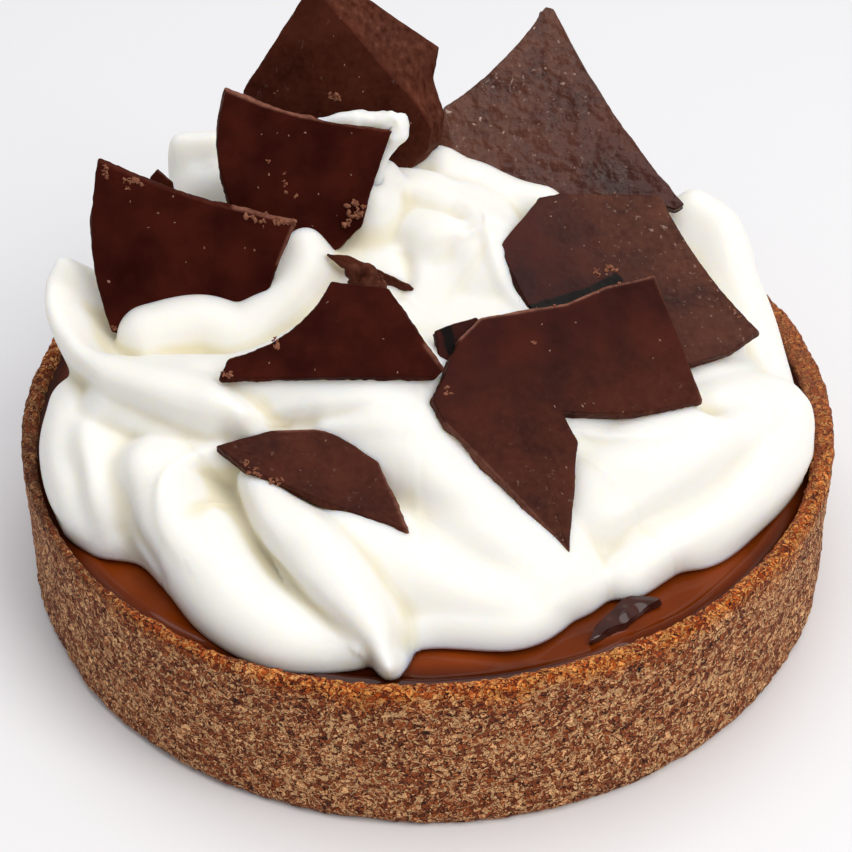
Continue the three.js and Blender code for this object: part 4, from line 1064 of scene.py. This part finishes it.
# %% Shards as they lie
# corners are x, y on the plate, or x, y, bow where the edge to the next corner bows sideways;
# turn is where the face looks (0 is the front, positive to the right) and lift how far up it looks
SHARDS = {
    "shard_tall_back": {
        "centre": [-11.4, 26.1, 49.5], "turn": -11, "lift": 15, "thickness": 3.8,
        "corners": [
            [-3.7, 13.6], [-12, -1.1], [-11.3, -11], [-0.3, -13.7], [8.5, -10.6], [12, -6.2], [12.2, -3.3],
            [9.8, 0.2], [5.7, 4], [1.5, 8.4],
        ],
        "back": [
            [0, 13], [-12, -1], [-11.5, -12.4], [-1.1, -15.2], [8.5, -12], [12.7, -7.5], [13.2, -2.6],
            [11.6, 1.9], [12.2, 6], [6.4, 9.2],
        ],
    },
    "shard_upper_left": {
        "centre": [-14.1, 12.2, 46.7], "turn": 13, "lift": 25,
        "corners": [
            [-9, 11.8, -1], [10.5, 4.2, -0.2], [5.5, -7], [2.7, -9.2], [-0.4, -10.6], [-7.6, -9.1],
            [-10.1, -2.3, 1.4],
        ],
    },
    "shard_left": {
        "centre": [-27.4, 3.7, 41.1], "turn": -1, "lift": 20,
        "corners": [
            [-11.7, 11.6, -0.9], [11.6, 4.3], [7.4, -6.2], [5.9, -9.1], [-3.1, -11.7], [-10.9, -9.9, 1.6],
        ],
    },
    "shard_middle": {
        "centre": [-11.2, -9.4, 40.2], "turn": -2, "lift": 54,
        "corners": [[-12.8, -6.1], [-11.8, -3.6, -1.9], [-0.3, 6], [6.4, 5.3], [13, -4.1], [12, -5.3]],
    },
    "shard_back_right": {
        "centre": [16, 30.3, 44.6], "turn": -9, "lift": 58, "relief": [0.2, 0.17],
        "corners": [
            [-2.9, 13.8], [-1.8, 13.6, -1], [17.6, -11.6], [16.5, -12.4], [12.8, -11.8], [2.6, -12.8],
            [-8.2, -10.9], [-15, -7.5], [-13.9, -1.5, -1.0],
        ],
    },
    "shard_right": {
        "centre": [24.4, 5.8, 36.2], "turn": 21, "lift": 64,
        "corners": [
            [-7, 13.3], [-4, 13.2], [8.1, 9.8, -1.1], [13.3, -10.8], [8.6, -12.6], [3.3, -12.9],
            [-8.9, -10], [-13.5, -0.4], [-14.3, 8],
        ],
    },
    "shard_front_right": {
        "centre": [16.5, -14.6, 32.7], "turn": 24, "lift": 61, "thickness": 2.0, "hub": [-5, 4],
        "corners": [
            [-9.4, 12.1], [-6, 13.9], [4.8, 12.7], [10.4, 13.4], [16.8, 13.1], [16.1, -3.7, 0.8],
            [-0.9, -0.1], [-0.6, -4.1], [-6.8, -16.5], [-15, 2.4], [-15.3, 5.7],
        ],
    },
    "shard_front_left": {
        "centre": [-13.4, -23.8, 30.1], "turn": 9, "lift": 73,
        "corners": [
            [-10.3, 5.7], [-3.8, 7], [1.1, 6.7], [5.4, 5.3], [7.6, 3.8], [10, -8.2, 0.3], [-1.5, -1.6],
            [-7.2, 2],
        ],
    },
    "shard_sliver": {
        "centre": [-7, 4.5, 38.1], "turn": 10, "lift": 45,
        "corners": [[-5, 2.8], [-2.4, 2.4], [5.2, -2.6], [4.9, -3.1], [-1.8, 0.3], [-3.4, 1.1]],
    },
    "shard_underneath": {
        "centre": [4, -7.4, 36.7], "turn": 24, "lift": 61,
        "corners": [[-2.6, 2.5], [2.9, 2.8], [4.8, -0.3], [0, -3.8], [-3.7, -2.2]],
    },
    "shard_tip": {
        "centre": [-32.3, 13, 44.6], "turn": 0, "lift": 30,
        "corners": [[-1.6, 1], [-0.7, 2.2], [1.2, 0.5], [1.6, -2.3], [-1.3, -1.7]],
    },
}
print(len(SHARDS), "shards")

# %% Snapped outlines
OUTLINE_STEP = 0.22
NICKS = 0.08
STEPS_PER_EDGE = 24


def broken_outline(corners, count):
    """Even points round the corners, counter-clockwise, with bows of 4 bow t (1 - t) and soft corners."""
    t = np.linspace(0, 1, STEPS_PER_EDGE, endpoint=False)[:, None]
    stretches = []
    for (x, y, *bow), end in zip(corners, [*corners[1:], corners[0]]):
        along = np.array(end[:2]) - [x, y]
        side = np.array([-along[1], along[0]]) / np.linalg.norm(along)
        swing = 4 * (bow[0] if bow else 0) * t * (1 - t)
        stretches.append([x, y] + along * t + side * swing)
    line = np.concatenate(stretches)
    x, y = line.T
    if np.sum(x * np.roll(y, -1) - y * np.roll(x, -1)) < 0:
        line = line[::-1]
    ring = np.vstack([line, line[:1]])
    travelled = np.concatenate([[0], np.cumsum(np.linalg.norm(np.diff(ring, axis=0), axis=1))])
    places = np.linspace(0, travelled[-1], count, endpoint=False)
    even = np.column_stack([np.interp(places, travelled, ring[:, axis]) for axis in (0, 1)])
    return (np.roll(even, 1, axis=0) + 2 * even + np.roll(even, -1, axis=0)) / 4


def outline_length(corners):
    """The length of the straight lines round the corners."""
    flat = np.array([corner[:2] for corner in corners])
    return np.linalg.norm(flat - np.roll(flat, 1, axis=0), axis=1).sum()


def outward_normals(line):
    """Unit normals of a counter-clockwise closed line, pointing out."""
    run = np.roll(line, -1, axis=0) - np.roll(line, 1, axis=0)
    return np.column_stack([run[:, 1], -run[:, 0]]) / np.linalg.norm(run, axis=1, keepdims=True)


def with_nicks(line, seed):
    """The line with the small nicks of a snapped edge, moved along its normals by up to NICKS mm."""
    flat = np.column_stack([line, np.zeros(len(line))])
    moved = NICKS * (0.6 * noise(flat, 1.9, seed) + 0.4 * noise(flat, 0.7, seed + 1))
    return line + outward_normals(line) * moved[:, None]


longest = max(SHARDS, key=lambda name: outline_length(SHARDS[name]["corners"]))
print(f"longest outline: {longest}, {outline_length(SHARDS[longest]['corners']):.0f} mm")

# %% Plates
SHARD_THICKNESS = 1.6
EDGE_ROUND = 0.16
FACE_ROWS = 34
SIDE_ROWS = 13
BACK_ROWS = 12
INNER_SHARE = 0.03
OUTER_SHARE = 0.99
SIDE_START = 0.02


def shard_axes(turn, lift):
    """Unit vectors across the plate, up it and out of its face, as the rows of a matrix."""
    turn, lift = np.radians([turn, lift])
    across = np.array([np.cos(turn), np.sin(turn), 0])
    out = np.array([np.sin(turn) * np.cos(lift), -np.cos(turn) * np.cos(lift), np.sin(lift)])
    return np.array([across, np.cross(out, across), out])


def placed(shard, plate):
    """Points given across, up and out of a plate, put where the plate lies."""
    return np.array(shard["centre"]) + plate @ shard_axes(shard["turn"], shard["lift"])


def shard_rows(front, back, hub, thickness):
    """Rings from the hub to the edge of the face, down the snapped side and back to the hub behind, as points
    on the plate, and a bulge of sin(pi t) on the way down the side."""
    out_front, out_back = outward_normals(front), outward_normals(back)
    face_share = 1 - (1 - np.linspace(INNER_SHARE, OUTER_SHARE, FACE_ROWS)) ** 1.5
    side_share = np.linspace(0, 1, SIDE_ROWS)
    back_share = np.linspace(OUTER_SHARE, INNER_SHARE, BACK_ROWS)
    down = side_share[:, None, None]
    turn_in = EDGE_ROUND * (2 * down - 1) ** 8
    rows = np.concatenate([
        hub + face_share[:, None, None] * (front - EDGE_ROUND * out_front - hub),
        (front - turn_in * out_front) * (1 - down) + (back - turn_in * out_back) * down,
        hub + back_share[:, None, None] * (back - EDGE_ROUND * out_back - hub),
    ])
    side_depth = -SIDE_START - (thickness - 2 * SIDE_START) * side_share
    depth = np.concatenate([np.zeros(FACE_ROWS), side_depth, np.full(BACK_ROWS, -thickness)])
    bulge = np.concatenate([np.zeros(FACE_ROWS), np.sin(np.pi * side_share), np.zeros(BACK_ROWS)])
    plate = np.column_stack([rows.reshape(-1, 2), np.repeat(depth, len(front))])
    return plate, np.repeat(bulge, len(front))


print("a plate has", FACE_ROWS + SIDE_ROWS + BACK_ROWS, "rings")

# %% Fracture and swells
# heights of slow and of quick swells on a face
FACE_RELIEF = [0.07, 0.025]
FRACTURE_RUN = 0.22


def shard_surface(shard, seed):
    """A plate's rows with its fracture, which runs in layers round the side, and the swells of its faces:
    points, triangles, places on the plate and 1 on the snapped side."""
    thickness = shard.get("thickness", SHARD_THICKNESS)
    count = int(outline_length(shard["corners"]) / OUTLINE_STEP)
    front = with_nicks(broken_outline(shard["corners"], count), seed)
    back = with_nicks(broken_outline(shard.get("back", shard["corners"]), count), seed)
    back = np.roll(back, -np.argmin(np.linalg.norm(back - front[0], axis=1)), axis=0)
    hub = np.array(shard.get("hub", front.mean(axis=0)))
    plate, bulge = shard_rows(front, back, hub, thickness)
    rows = len(plate) // count
    steps = np.linalg.norm(np.roll(front, -1, axis=0) - front, axis=1)
    travelled = np.tile(np.cumsum(steps), rows)
    layered = np.column_stack([FRACTURE_RUN * travelled, plate[:, 2], np.zeros(len(plate))])
    fracture = 0.3 * noise(layered, 0.8, seed + 2) + 0.1 * noise(plate, 0.5, seed + 3)
    plate[:, :2] += np.tile(outward_normals(front), (rows, 1)) * (fracture * bulge)[:, None]
    slow, quick = shard.get("relief", FACE_RELIEF)
    flat = plate * [1, 1, 0]
    swell = slow * noise(flat, 7, seed + 4) + quick * noise(flat, 1.8, seed + 5)
    plate[:, 2] += swell * (1 - np.sqrt(bulge))
    plate = np.vstack([plate, [*hub, 0], [*hub, -thickness]])
    return placed(shard, plate), capped_triangles(rows, count)[:, ::-1], plate, np.append(bulge > 0, [0, 0])


print(f"plates are {SHARD_THICKNESS} mm thick where their shard gives no other thickness")

# %% [markdown]
# ### Finish of the chocolate
# Tempered dark chocolate sets to a satin face. Bloom, a breath of fat on the surface, greys some shards
# more than others and often one end of a shard more than the other; the same grey also paints a sheen,
# and where bloom is heavy the shader paints small glints. Snapped sides are rougher and lighter, an edge
# that was handled is rubbed pale, and the gap under a plate that lies close gets a painted black shadow.
# These four come as numbers on the points; the shader breaks them up with clouds and grain, so that no
# border looks drawn.

# %% Chocolate finish
CHOCOLATE_DARK = "#2a0a06"
CHOCOLATE_LIGHT = "#431810"
UPRIGHT_STRETCH = Vector((1, 1, 0.25))


def dark_chocolate(name, gloss, grain_depth, crinkle):
    """Tempered chocolate: deep brown, grey where bloomed with a painted sheen and painted glints, paler where
    snapped or rubbed, and a painted shadow in gaps.
    """
    material, add, place = new_material(name, IOR=1.5, Specular_IOR_Level=gloss)
    bloom, snapped, rubbed, gap = [
        add("Attribute", attribute_name=mark)["Fac"] for mark in ("bloom", "snapped", "rubbed", "gap")
    ]
    upright = add("VectorMath", {0: place, 1: UPRIGHT_STRETCH}, operation="MULTIPLY")[0]
    clouds, grain, crinkles, streaks = [
        add("TexNoise", {"Vector": where, "Scale": pitch(width), "Detail": detail, "Roughness": rough})["Fac"]
        for where, width, detail, rough in [
            (place, 6, 5.0, 0.55), (place, 0.8, 4.0, 0.5), (place, 2.0, 1.5, 0.5), (upright, 0.7, 3.0, 0.5)
        ]
    ]
    mottle = add("Math", {0: clouds, 1: grain}, operation="ADD")[0]
    streaky = add("Math", {0: streaks, 1: 1.75}, operation="MULTIPLY")[0]
    # painted glints: pale strokes of streak noise stand in for highlights where bloom is heavy
    painted_glints = add("Math", {0: streaks, 1: 6.0, 2: -3.3}, operation="MULTIPLY_ADD")[0]
    heavy_bloom = add("Math", {0: bloom, 1: bloom}, operation="MULTIPLY")[0]
    shade = add("MapRange", {"Value": clouds, **span(0.32, 0.68)})[0]
    browns = {6: linear(CHOCOLATE_DARK), 7: linear(CHOCOLATE_LIGHT)}
    colour = add("Mix", {0: shade, **browns}, data_type="RGBA")[2]
    layers = [
        # bloom, in a grey that also paints a sheen
        (bloom, mottle, 0.7, "#6f4430"),
        # painted glints
        (heavy_bloom, painted_glints, 1.4, "#b3978a"),
        (snapped, streaky, 0.8, "#744535"),
        (rubbed, mottle, 1.0, "#a06c5a"),
        # painted shadow: black in the gap under a plate that lies close
        (gap, mottle, 3.0, "#0a0302"),
    ]
    for amount, pattern, most, hex_colour in layers:
        worn = add("MapRange", {"Value": pattern, **span(0.55, 1.2, 0, most)})[0]
        shown = add("Math", {0: worn, 1: amount}, operation="MULTIPLY", use_clamp=True)[0]
        colour = add("Mix", {0: shown, 6: colour, 7: linear(hex_colour)}, data_type="RGBA")[2]
    rough_span = span(0.3, 0.7, 0.42 - 0.7 * gloss, 0.6 - 0.75 * gloss)
    roughness = add("MapRange", {"Value": clouds, **rough_span})[0]
    height = add("Math", {0: crinkles, 1: crinkle, 2: grain}, operation="MULTIPLY_ADD")[0]
    bump = add("Bump", {"Height": height, "Strength": 0.5, "Distance": grain_depth * MM})["Normal"]
    return finished(material, Base_Color=colour, Roughness=roughness, Normal=bump)


plain_chocolate = dark_chocolate("tempered_dark_chocolate", gloss=0.02, grain_depth=0.1, crinkle=0.0)
satin_chocolate = dark_chocolate("satin_dark_chocolate", gloss=0.05, grain_depth=0.1, crinkle=0.5)
handled_chocolate = dark_chocolate("handled_dark_chocolate", gloss=0.12, grain_depth=0.18, crinkle=1.2)
# the heaviest bloom, whose grey also paints a sheen
bloomed_chocolate = dark_chocolate("bloomed_dark_chocolate", gloss=0.23, grain_depth=0.5, crinkle=3.0)
print(len(plain_chocolate.node_tree.nodes), "nodes in each chocolate finish")

# %% [markdown]
# ### How each shard was handled
# Bloom, with its painted sheen, is given at the middle of a plate, with its growth per millimetre to the
# right and upwards. A rubbed edge is a line of places on the plate with a strength, and the wear falls off
# beside it as exp(-(distance / width)^4). Where one plate lies close over another a black shadow is painted
# in the gap between them, and that is a line of the same kind.

# %% Handling of the shards
# finish, bloom and painted sheen at the middle, more to the right, more upwards, and how light the snapped
# side is
HANDLING = {
    "shard_tall_back": (plain_chocolate, 0.3, 0.0, 0.0, 0.6),
    "shard_upper_left": (plain_chocolate, 0.0, 0.0, 0.0, 0.6),
    "shard_left": (plain_chocolate, 0.0, 0.0, 0.0, 0.25),
    "shard_middle": (plain_chocolate, 0.0, 0.0, 0.0, 0.2),
    "shard_back_right": (bloomed_chocolate, 0.66, -0.022, 0.015, 0.0),
    "shard_right": (handled_chocolate, 0.3, 0.04, 0.015, 0.0),
    "shard_front_right": (satin_chocolate, 0.2, 0.0, -0.02, 0.4),
    "shard_front_left": (satin_chocolate, 0.28, 0.0, 0.0, 0.3),
    "shard_sliver": (plain_chocolate, 0.35, 0.0, 0.0, 0.5),
    "shard_underneath": (satin_chocolate, 0.0, 0.0, 0.0, 0.1),
    "shard_tip": (plain_chocolate, 0.1, 0.0, 0.0, 0.3),
}
RUB_WIDTH = 0.35
PAINTED_GAP_SHADOW_WIDTH = 0.65
FIRST_SEED = 100
SEED_STEP = 10
# strength, then places on the plate
RUBBED_EDGES = {
    "shard_upper_left": [(0.7, [[-9, 11.8], [-5, 9.5], [-0.6, 7.6], [2, 6.8]])],
    "shard_left": [(0.7, [[4.4, 6.1], [8, 5.2], [11.6, 4.3]]), (0.4, [[11.6, 4.3], [9.5, -0.9]])],
    "shard_middle": [(0.4, [[11, -1.5], [13, -4.1]])],
    "shard_front_right": [
        (0.8, [[-9.4, 12.1], [-6, 13.9], [4.8, 12.7], [10.4, 13.4], [16.8, 13.1]]),
        (0.4, [[16.8, 13.1], [16.8, 4], [16.1, -3.7]]),
        (0.3, [[-15, 2.4], [-12, -4.3], [-6.8, -16.5]]),
    ],
    "shard_front_left": [
        (0.5, [[-3, 6.9], [1.1, 6.7], [5.4, 5.3], [7.6, 3.8]]),
        (0.35, [[7.6, 3.8], [9, -3], [10, -8.2]]),
    ],
}
# painted shadows: black lines on a plate where another lies close over it
PAINTED_GAP_SHADOWS = {
    "shard_right": [(1.0, [[-13, -1.1], [-9.3, -0.9], [-6, -0.7], [-3.9, -0.3], [-1.6, 0.2]])],
    "shard_underneath": [(1.0, [[-1, 3], [-1.5, 0], [-1, -3], [3, 0]])],
}


def wear_along(places, lines, width):
    """The largest of strength exp(-(distance / width)^4) over several broken lines on a plate."""
    wear = np.zeros(len(places))
    for strength, line in lines:
        for start, end in zip(np.array(line[:-1]), np.array(line[1:])):
            along = end - start
            share = np.clip((places - start) @ along / (along @ along), 0, 1)
            distance = np.linalg.norm(places - start - share[:, None] * along, axis=1)
            wear = np.maximum(wear, strength * np.exp(-((distance / width) ** 4)))
    return wear


for number, (shard_name, shard) in enumerate(SHARDS.items()):
    shard_points, shard_triangles, plate, snapped = shard_surface(shard, seed=FIRST_SEED + SEED_STEP * number)
    finish, middle, rightward, upward, side_tone = HANDLING[shard_name]
    add_piece(
        shard_name + "_plate", shard_points, shard_triangles, finish, "dark_chocolate", [shard_name],
        bloom=np.clip(middle + plate[:, :2] @ [rightward, upward], 0, 1),
        snapped=snapped * side_tone,
        rubbed=wear_along(plate[:, :2], RUBBED_EDGES.get(shard_name, []), RUB_WIDTH),
        # painted shadow in the gaps
        gap=wear_along(plate[:, :2], PAINTED_GAP_SHADOWS.get(shard_name, []), PAINTED_GAP_SHADOW_WIDTH),
    )

# %% [markdown]
# ## The broken lump and the piece in the caramel
# A knob of chocolate stands against the sliver, broken on every side: a closed globe of angle and height,
# pushed in and out by noise. A flat chip lies half sunk in the caramel at the front right, wet all over; it
# is a plate like the shards, only thinner and lying down.

# %% Broken lump
LUMP_CENTRE = np.array([-7.3, 0.7, 39.9])
LUMP_HALF = np.array([2.7, 1.6, 2.0])
LUMP_MARKS = {"bloom": 0.1, "snapped": 0.6, "rubbed": 0.05, "gap": 0}


def globe(rows, turns):
    """Unit sphere points row by row between the poles, then the poles, with its triangles."""
    height = np.cos(np.linspace(0, np.pi, rows + 2)[1:-1])
    line = np.column_stack([np.sqrt(1 - height**2), height])[::-1]
    grid, _ = carried_round(line, turns)
    return np.vstack([grid.reshape(-1, 3), [0, 0, -1], [0, 0, 1]]), capped_triangles(rows, turns)


lump_shape, lump_triangles = globe(60, 90)
lump_rough = 1 + 0.45 * noise(lump_shape, 0.8, seed=301) + 0.15 * noise(lump_shape, 0.3, seed=303)
add_piece(
    "broken_lump", LUMP_CENTRE + lump_shape * lump_rough[:, None] * LUMP_HALF, lump_triangles,
    plain_chocolate, "dark_chocolate", ["chocolate_lump"],
    **{mark: np.full(len(lump_shape), amount) for mark, amount in LUMP_MARKS.items()},
)

# %% Sunken piece
def wet_chocolate():
    """Chocolate under a film of caramel: nearly black, with sharp highlights."""
    material, add, place = new_material(
        "caramel_wet_chocolate", Roughness=0.14, IOR=1.5, Specular_IOR_Level=0.4
    )
    clouds = add("TexNoise", {"Vector": place, "Scale": pitch(2.5), "Detail": 3.0})["Fac"]
    colour = add("Mix", {0: clouds, 6: linear("#1f0c09"), 7: linear("#4a231a")}, data_type="RGBA")[2]
    return finished(material, Base_Color=colour)


SUNKEN_CHIP = {
    "centre": [22.4, -35.6, 19.95], "turn": 0, "lift": 90, "thickness": 1.0, "relief": [0.3, 0.28],
    "corners": [
        [-4.2, -4], [-2.7, -3.1], [-1.4, -2.3], [0.3, -1.5], [1.5, -0.2], [2.9, 1.2], [4.3, 2.4], [3.6, 3],
        [0.8, 3], [-0.4, 2.2], [-1.6, 0.6], [-3.3, -1.5],
    ],
}
chip_points, chip_triangles, _, _ = shard_surface(SUNKEN_CHIP, seed=311)
add_piece("sunken_piece", chip_points, chip_triangles, wet_chocolate(), "wet_chocolate", ["floating_piece"])

# %% [markdown]
# ## Crumbs on the shards
# Snapping leaves crumbs. Most lie in patches where an edge broke and are toasted brown; finer, paler specks
# lie anywhere on a face. A particle system could scatter them, but a few listed patches sit where the real
# ones do. A crumb is a few flat flakes, each a tiny globe with rough points, and all of them make one mesh.

# %% Places of the crumbs
# patches run from one place on a plate to another; then how far crumbs stray, how many they are, their length
CRUMB_PATCHES = {
    "shard_tall_back": [([-0.7, -0.6], [0.2, -0.8], 0.2, 3, 1.2)],
    "shard_upper_left": [([4.9, -3.9], [4.2, -6.5], 0.3, 9, 1.0), ([-4, 1.8], [-2.7, -2.4], 0.5, 6, 0.6)],
    "shard_left": [
        ([-11.3, 10.6], [-10.6, 9.5], 0.25, 3, 0.75),
        ([-8.8, 9.3], [-6.6, 8.6], 0.35, 5, 0.9),
        ([5.8, 5.0], [11.2, 4.4], 0.25, 8, 0.95),
        ([-10.7, -9.3], [-10.1, -9.3], 0.1, 2, 0.75),
    ],
    "shard_middle": [([-12.2, -5.5], [-11.1, -5.5], 0.2, 5, 0.6), ([-6.3, -1.4], [-6.5, -1.9], 0.1, 2, 0.8)],
    "shard_right": [([-2.0, 1.6], [-3.3, 2.0], 0.4, 4, 0.95), ([10.8, -7], [11.4, -8.3], 0.15, 3, 0.55)],
    "shard_front_right": [([-1, 9.1], [-13.2, 6.1], 0, 2, 0.95), ([3.3, 12.6], [12.2, 13.3], 0, 2, 0.6)],
    "shard_front_left": [([-7.6, 2.7], [-4.4, 0.2], 0.4, 8, 0.8)],
}
SPECK_COUNTS = {
    "shard_tall_back": 13, "shard_upper_left": 12, "shard_left": 15, "shard_middle": 6,
    "shard_back_right": 22, "shard_right": 34, "shard_front_right": 15, "shard_front_left": 3,
}
SPECK_LENGTHS = (0.2, 0.45)
FLAKES_PER_CRUMB = 5
FLAKES_PER_SPECK = 1
LENGTH_SPREAD = (0.8, 1.2)
SPECK_REACH = 0.95
OUTLINE_POINTS = 400


def patch_places(patches, draw):
    """Rows of x, y and length: evenly from start to end of each patch, moved about by normal chance."""
    rows = []
    for start, end, stray, count, length in patches:
        places = np.linspace(start, end, count)
        lengths = length * draw.uniform(*LENGTH_SPREAD, count)
        rows.append(np.column_stack([places + stray * draw.normal(0, 1, places.shape), lengths]))
    return np.concatenate(rows)


def speck_places(shard, count, draw):
    """Rows of x, y and length all over a plate: the root of a random share of the way from hub to edge."""
    outline = broken_outline(shard["corners"], OUTLINE_POINTS)
    hub = np.array(shard.get("hub", outline.mean(axis=0)))
    edge = outline[draw.integers(0, len(outline), count)]
    share = np.sqrt(draw.uniform(0, SPECK_REACH, count))[:, None]
    return np.column_stack([hub + share * (edge - hub), draw.uniform(*SPECK_LENGTHS, count)])


crumb_draw = np.random.default_rng(29)
crumb_rows = {name: patch_places(patches, crumb_draw) for name, patches in CRUMB_PATCHES.items()}
speck_rows = {name: speck_places(SHARDS[name], count, crumb_draw) for name, count in SPECK_COUNTS.items()}
print(sum(map(len, crumb_rows.values())), "crumbs and", sum(map(len, speck_rows.values())), "specks")

# %% Crumb finish
def crumbled_chocolate():
    """Dry chocolate crumb: rough and matt, in a pale or a toasted brown, with a dark grain."""
    material, add, place = new_material("crumbled_chocolate", Roughness=0.8, Specular_IOR_Level=0.15)
    toasted = add("Attribute", attribute_name="toasted")["Fac"]
    grain = add("TexNoise", {"Vector": place, "Scale": pitch(0.5), "Detail": 2.0})["Fac"]
    colour = add("Mix", {0: toasted, 6: linear("#93705f"), 7: linear("#94614a")}, data_type="RGBA")[2]
    dark = add("MapRange", {"Value": grain, **span(0.35, 0.7, 0, 0.7)})[0]
    mixed = add("Mix", {0: dark, 6: colour, 7: linear("#5a2a1a")}, data_type="RGBA")[2]
    return finished(material, Base_Color=mixed)


dry_crumb = crumbled_chocolate()
print(len(dry_crumb.node_tree.nodes), "nodes in the crumb finish")

# %% Crumbs
CRUMB_SPREAD = 0.22
FLAKE_SIZES = (0.35, 0.8)
FLAKE_ROUGHNESS = (0.4, 1.4)
FLAKE_BREADTHS = (0.3, 0.9)
FLAKE_FLATNESS = 0.4
FLAKE_RAISE = 0.08


def scattered_flakes(rows, flakes, draw):
    """Each row of places as a few flat flakes of random size, turn and rough edge: points and triangles.
    A place that has only one flake keeps it there at its full length."""
    ball, ball_triangles = globe(4, 7)
    heaps = []
    for shard_name, places in rows.items():
        x, y, length = np.repeat(places, flakes, axis=0).T
        count = len(length)
        spread = CRUMB_SPREAD * length if flakes > 1 else 0 * length
        size = length * draw.uniform(*FLAKE_SIZES, count) if flakes > 1 else length
        shape = ball * draw.uniform(*FLAKE_ROUGHNESS, (count, len(ball), 1)) * size[:, None, None] / 2
        wide = shape[..., 0]
        narrow = shape[..., 1] * draw.uniform(*FLAKE_BREADTHS, count)[:, None]
        turn = draw.uniform(0, np.pi, count)[:, None]
        x += spread * draw.normal(0, 1, count)
        y += spread * draw.normal(0, 1, count)
        across = x[:, None] + wide * np.cos(turn) - narrow * np.sin(turn)
        up = y[:, None] + wide * np.sin(turn) + narrow * np.cos(turn)
        out = FLAKE_FLATNESS * shape[..., 2] + FLAKE_RAISE * size[:, None]
        heaps.append(placed(SHARDS[shard_name], np.stack([across, up, out], axis=-1).reshape(-1, 3)))
    points = np.concatenate(heaps)
    starts = np.arange(0, len(points), len(ball))
    return points, (starts[:, None, None] + ball_triangles).reshape(-1, 3)


toasted_points, toasted_triangles = scattered_flakes(crumb_rows, FLAKES_PER_CRUMB, crumb_draw)
pale_points, pale_triangles = scattered_flakes(speck_rows, FLAKES_PER_SPECK, crumb_draw)
add_piece(
    "chocolate_crumbs", np.concatenate([toasted_points, pale_points]),
    np.concatenate([toasted_triangles, pale_triangles + len(toasted_points)]),
    dry_crumb, "dark_chocolate",
    toasted=np.append(np.ones(len(toasted_points)), np.zeros(len(pale_points))),
)
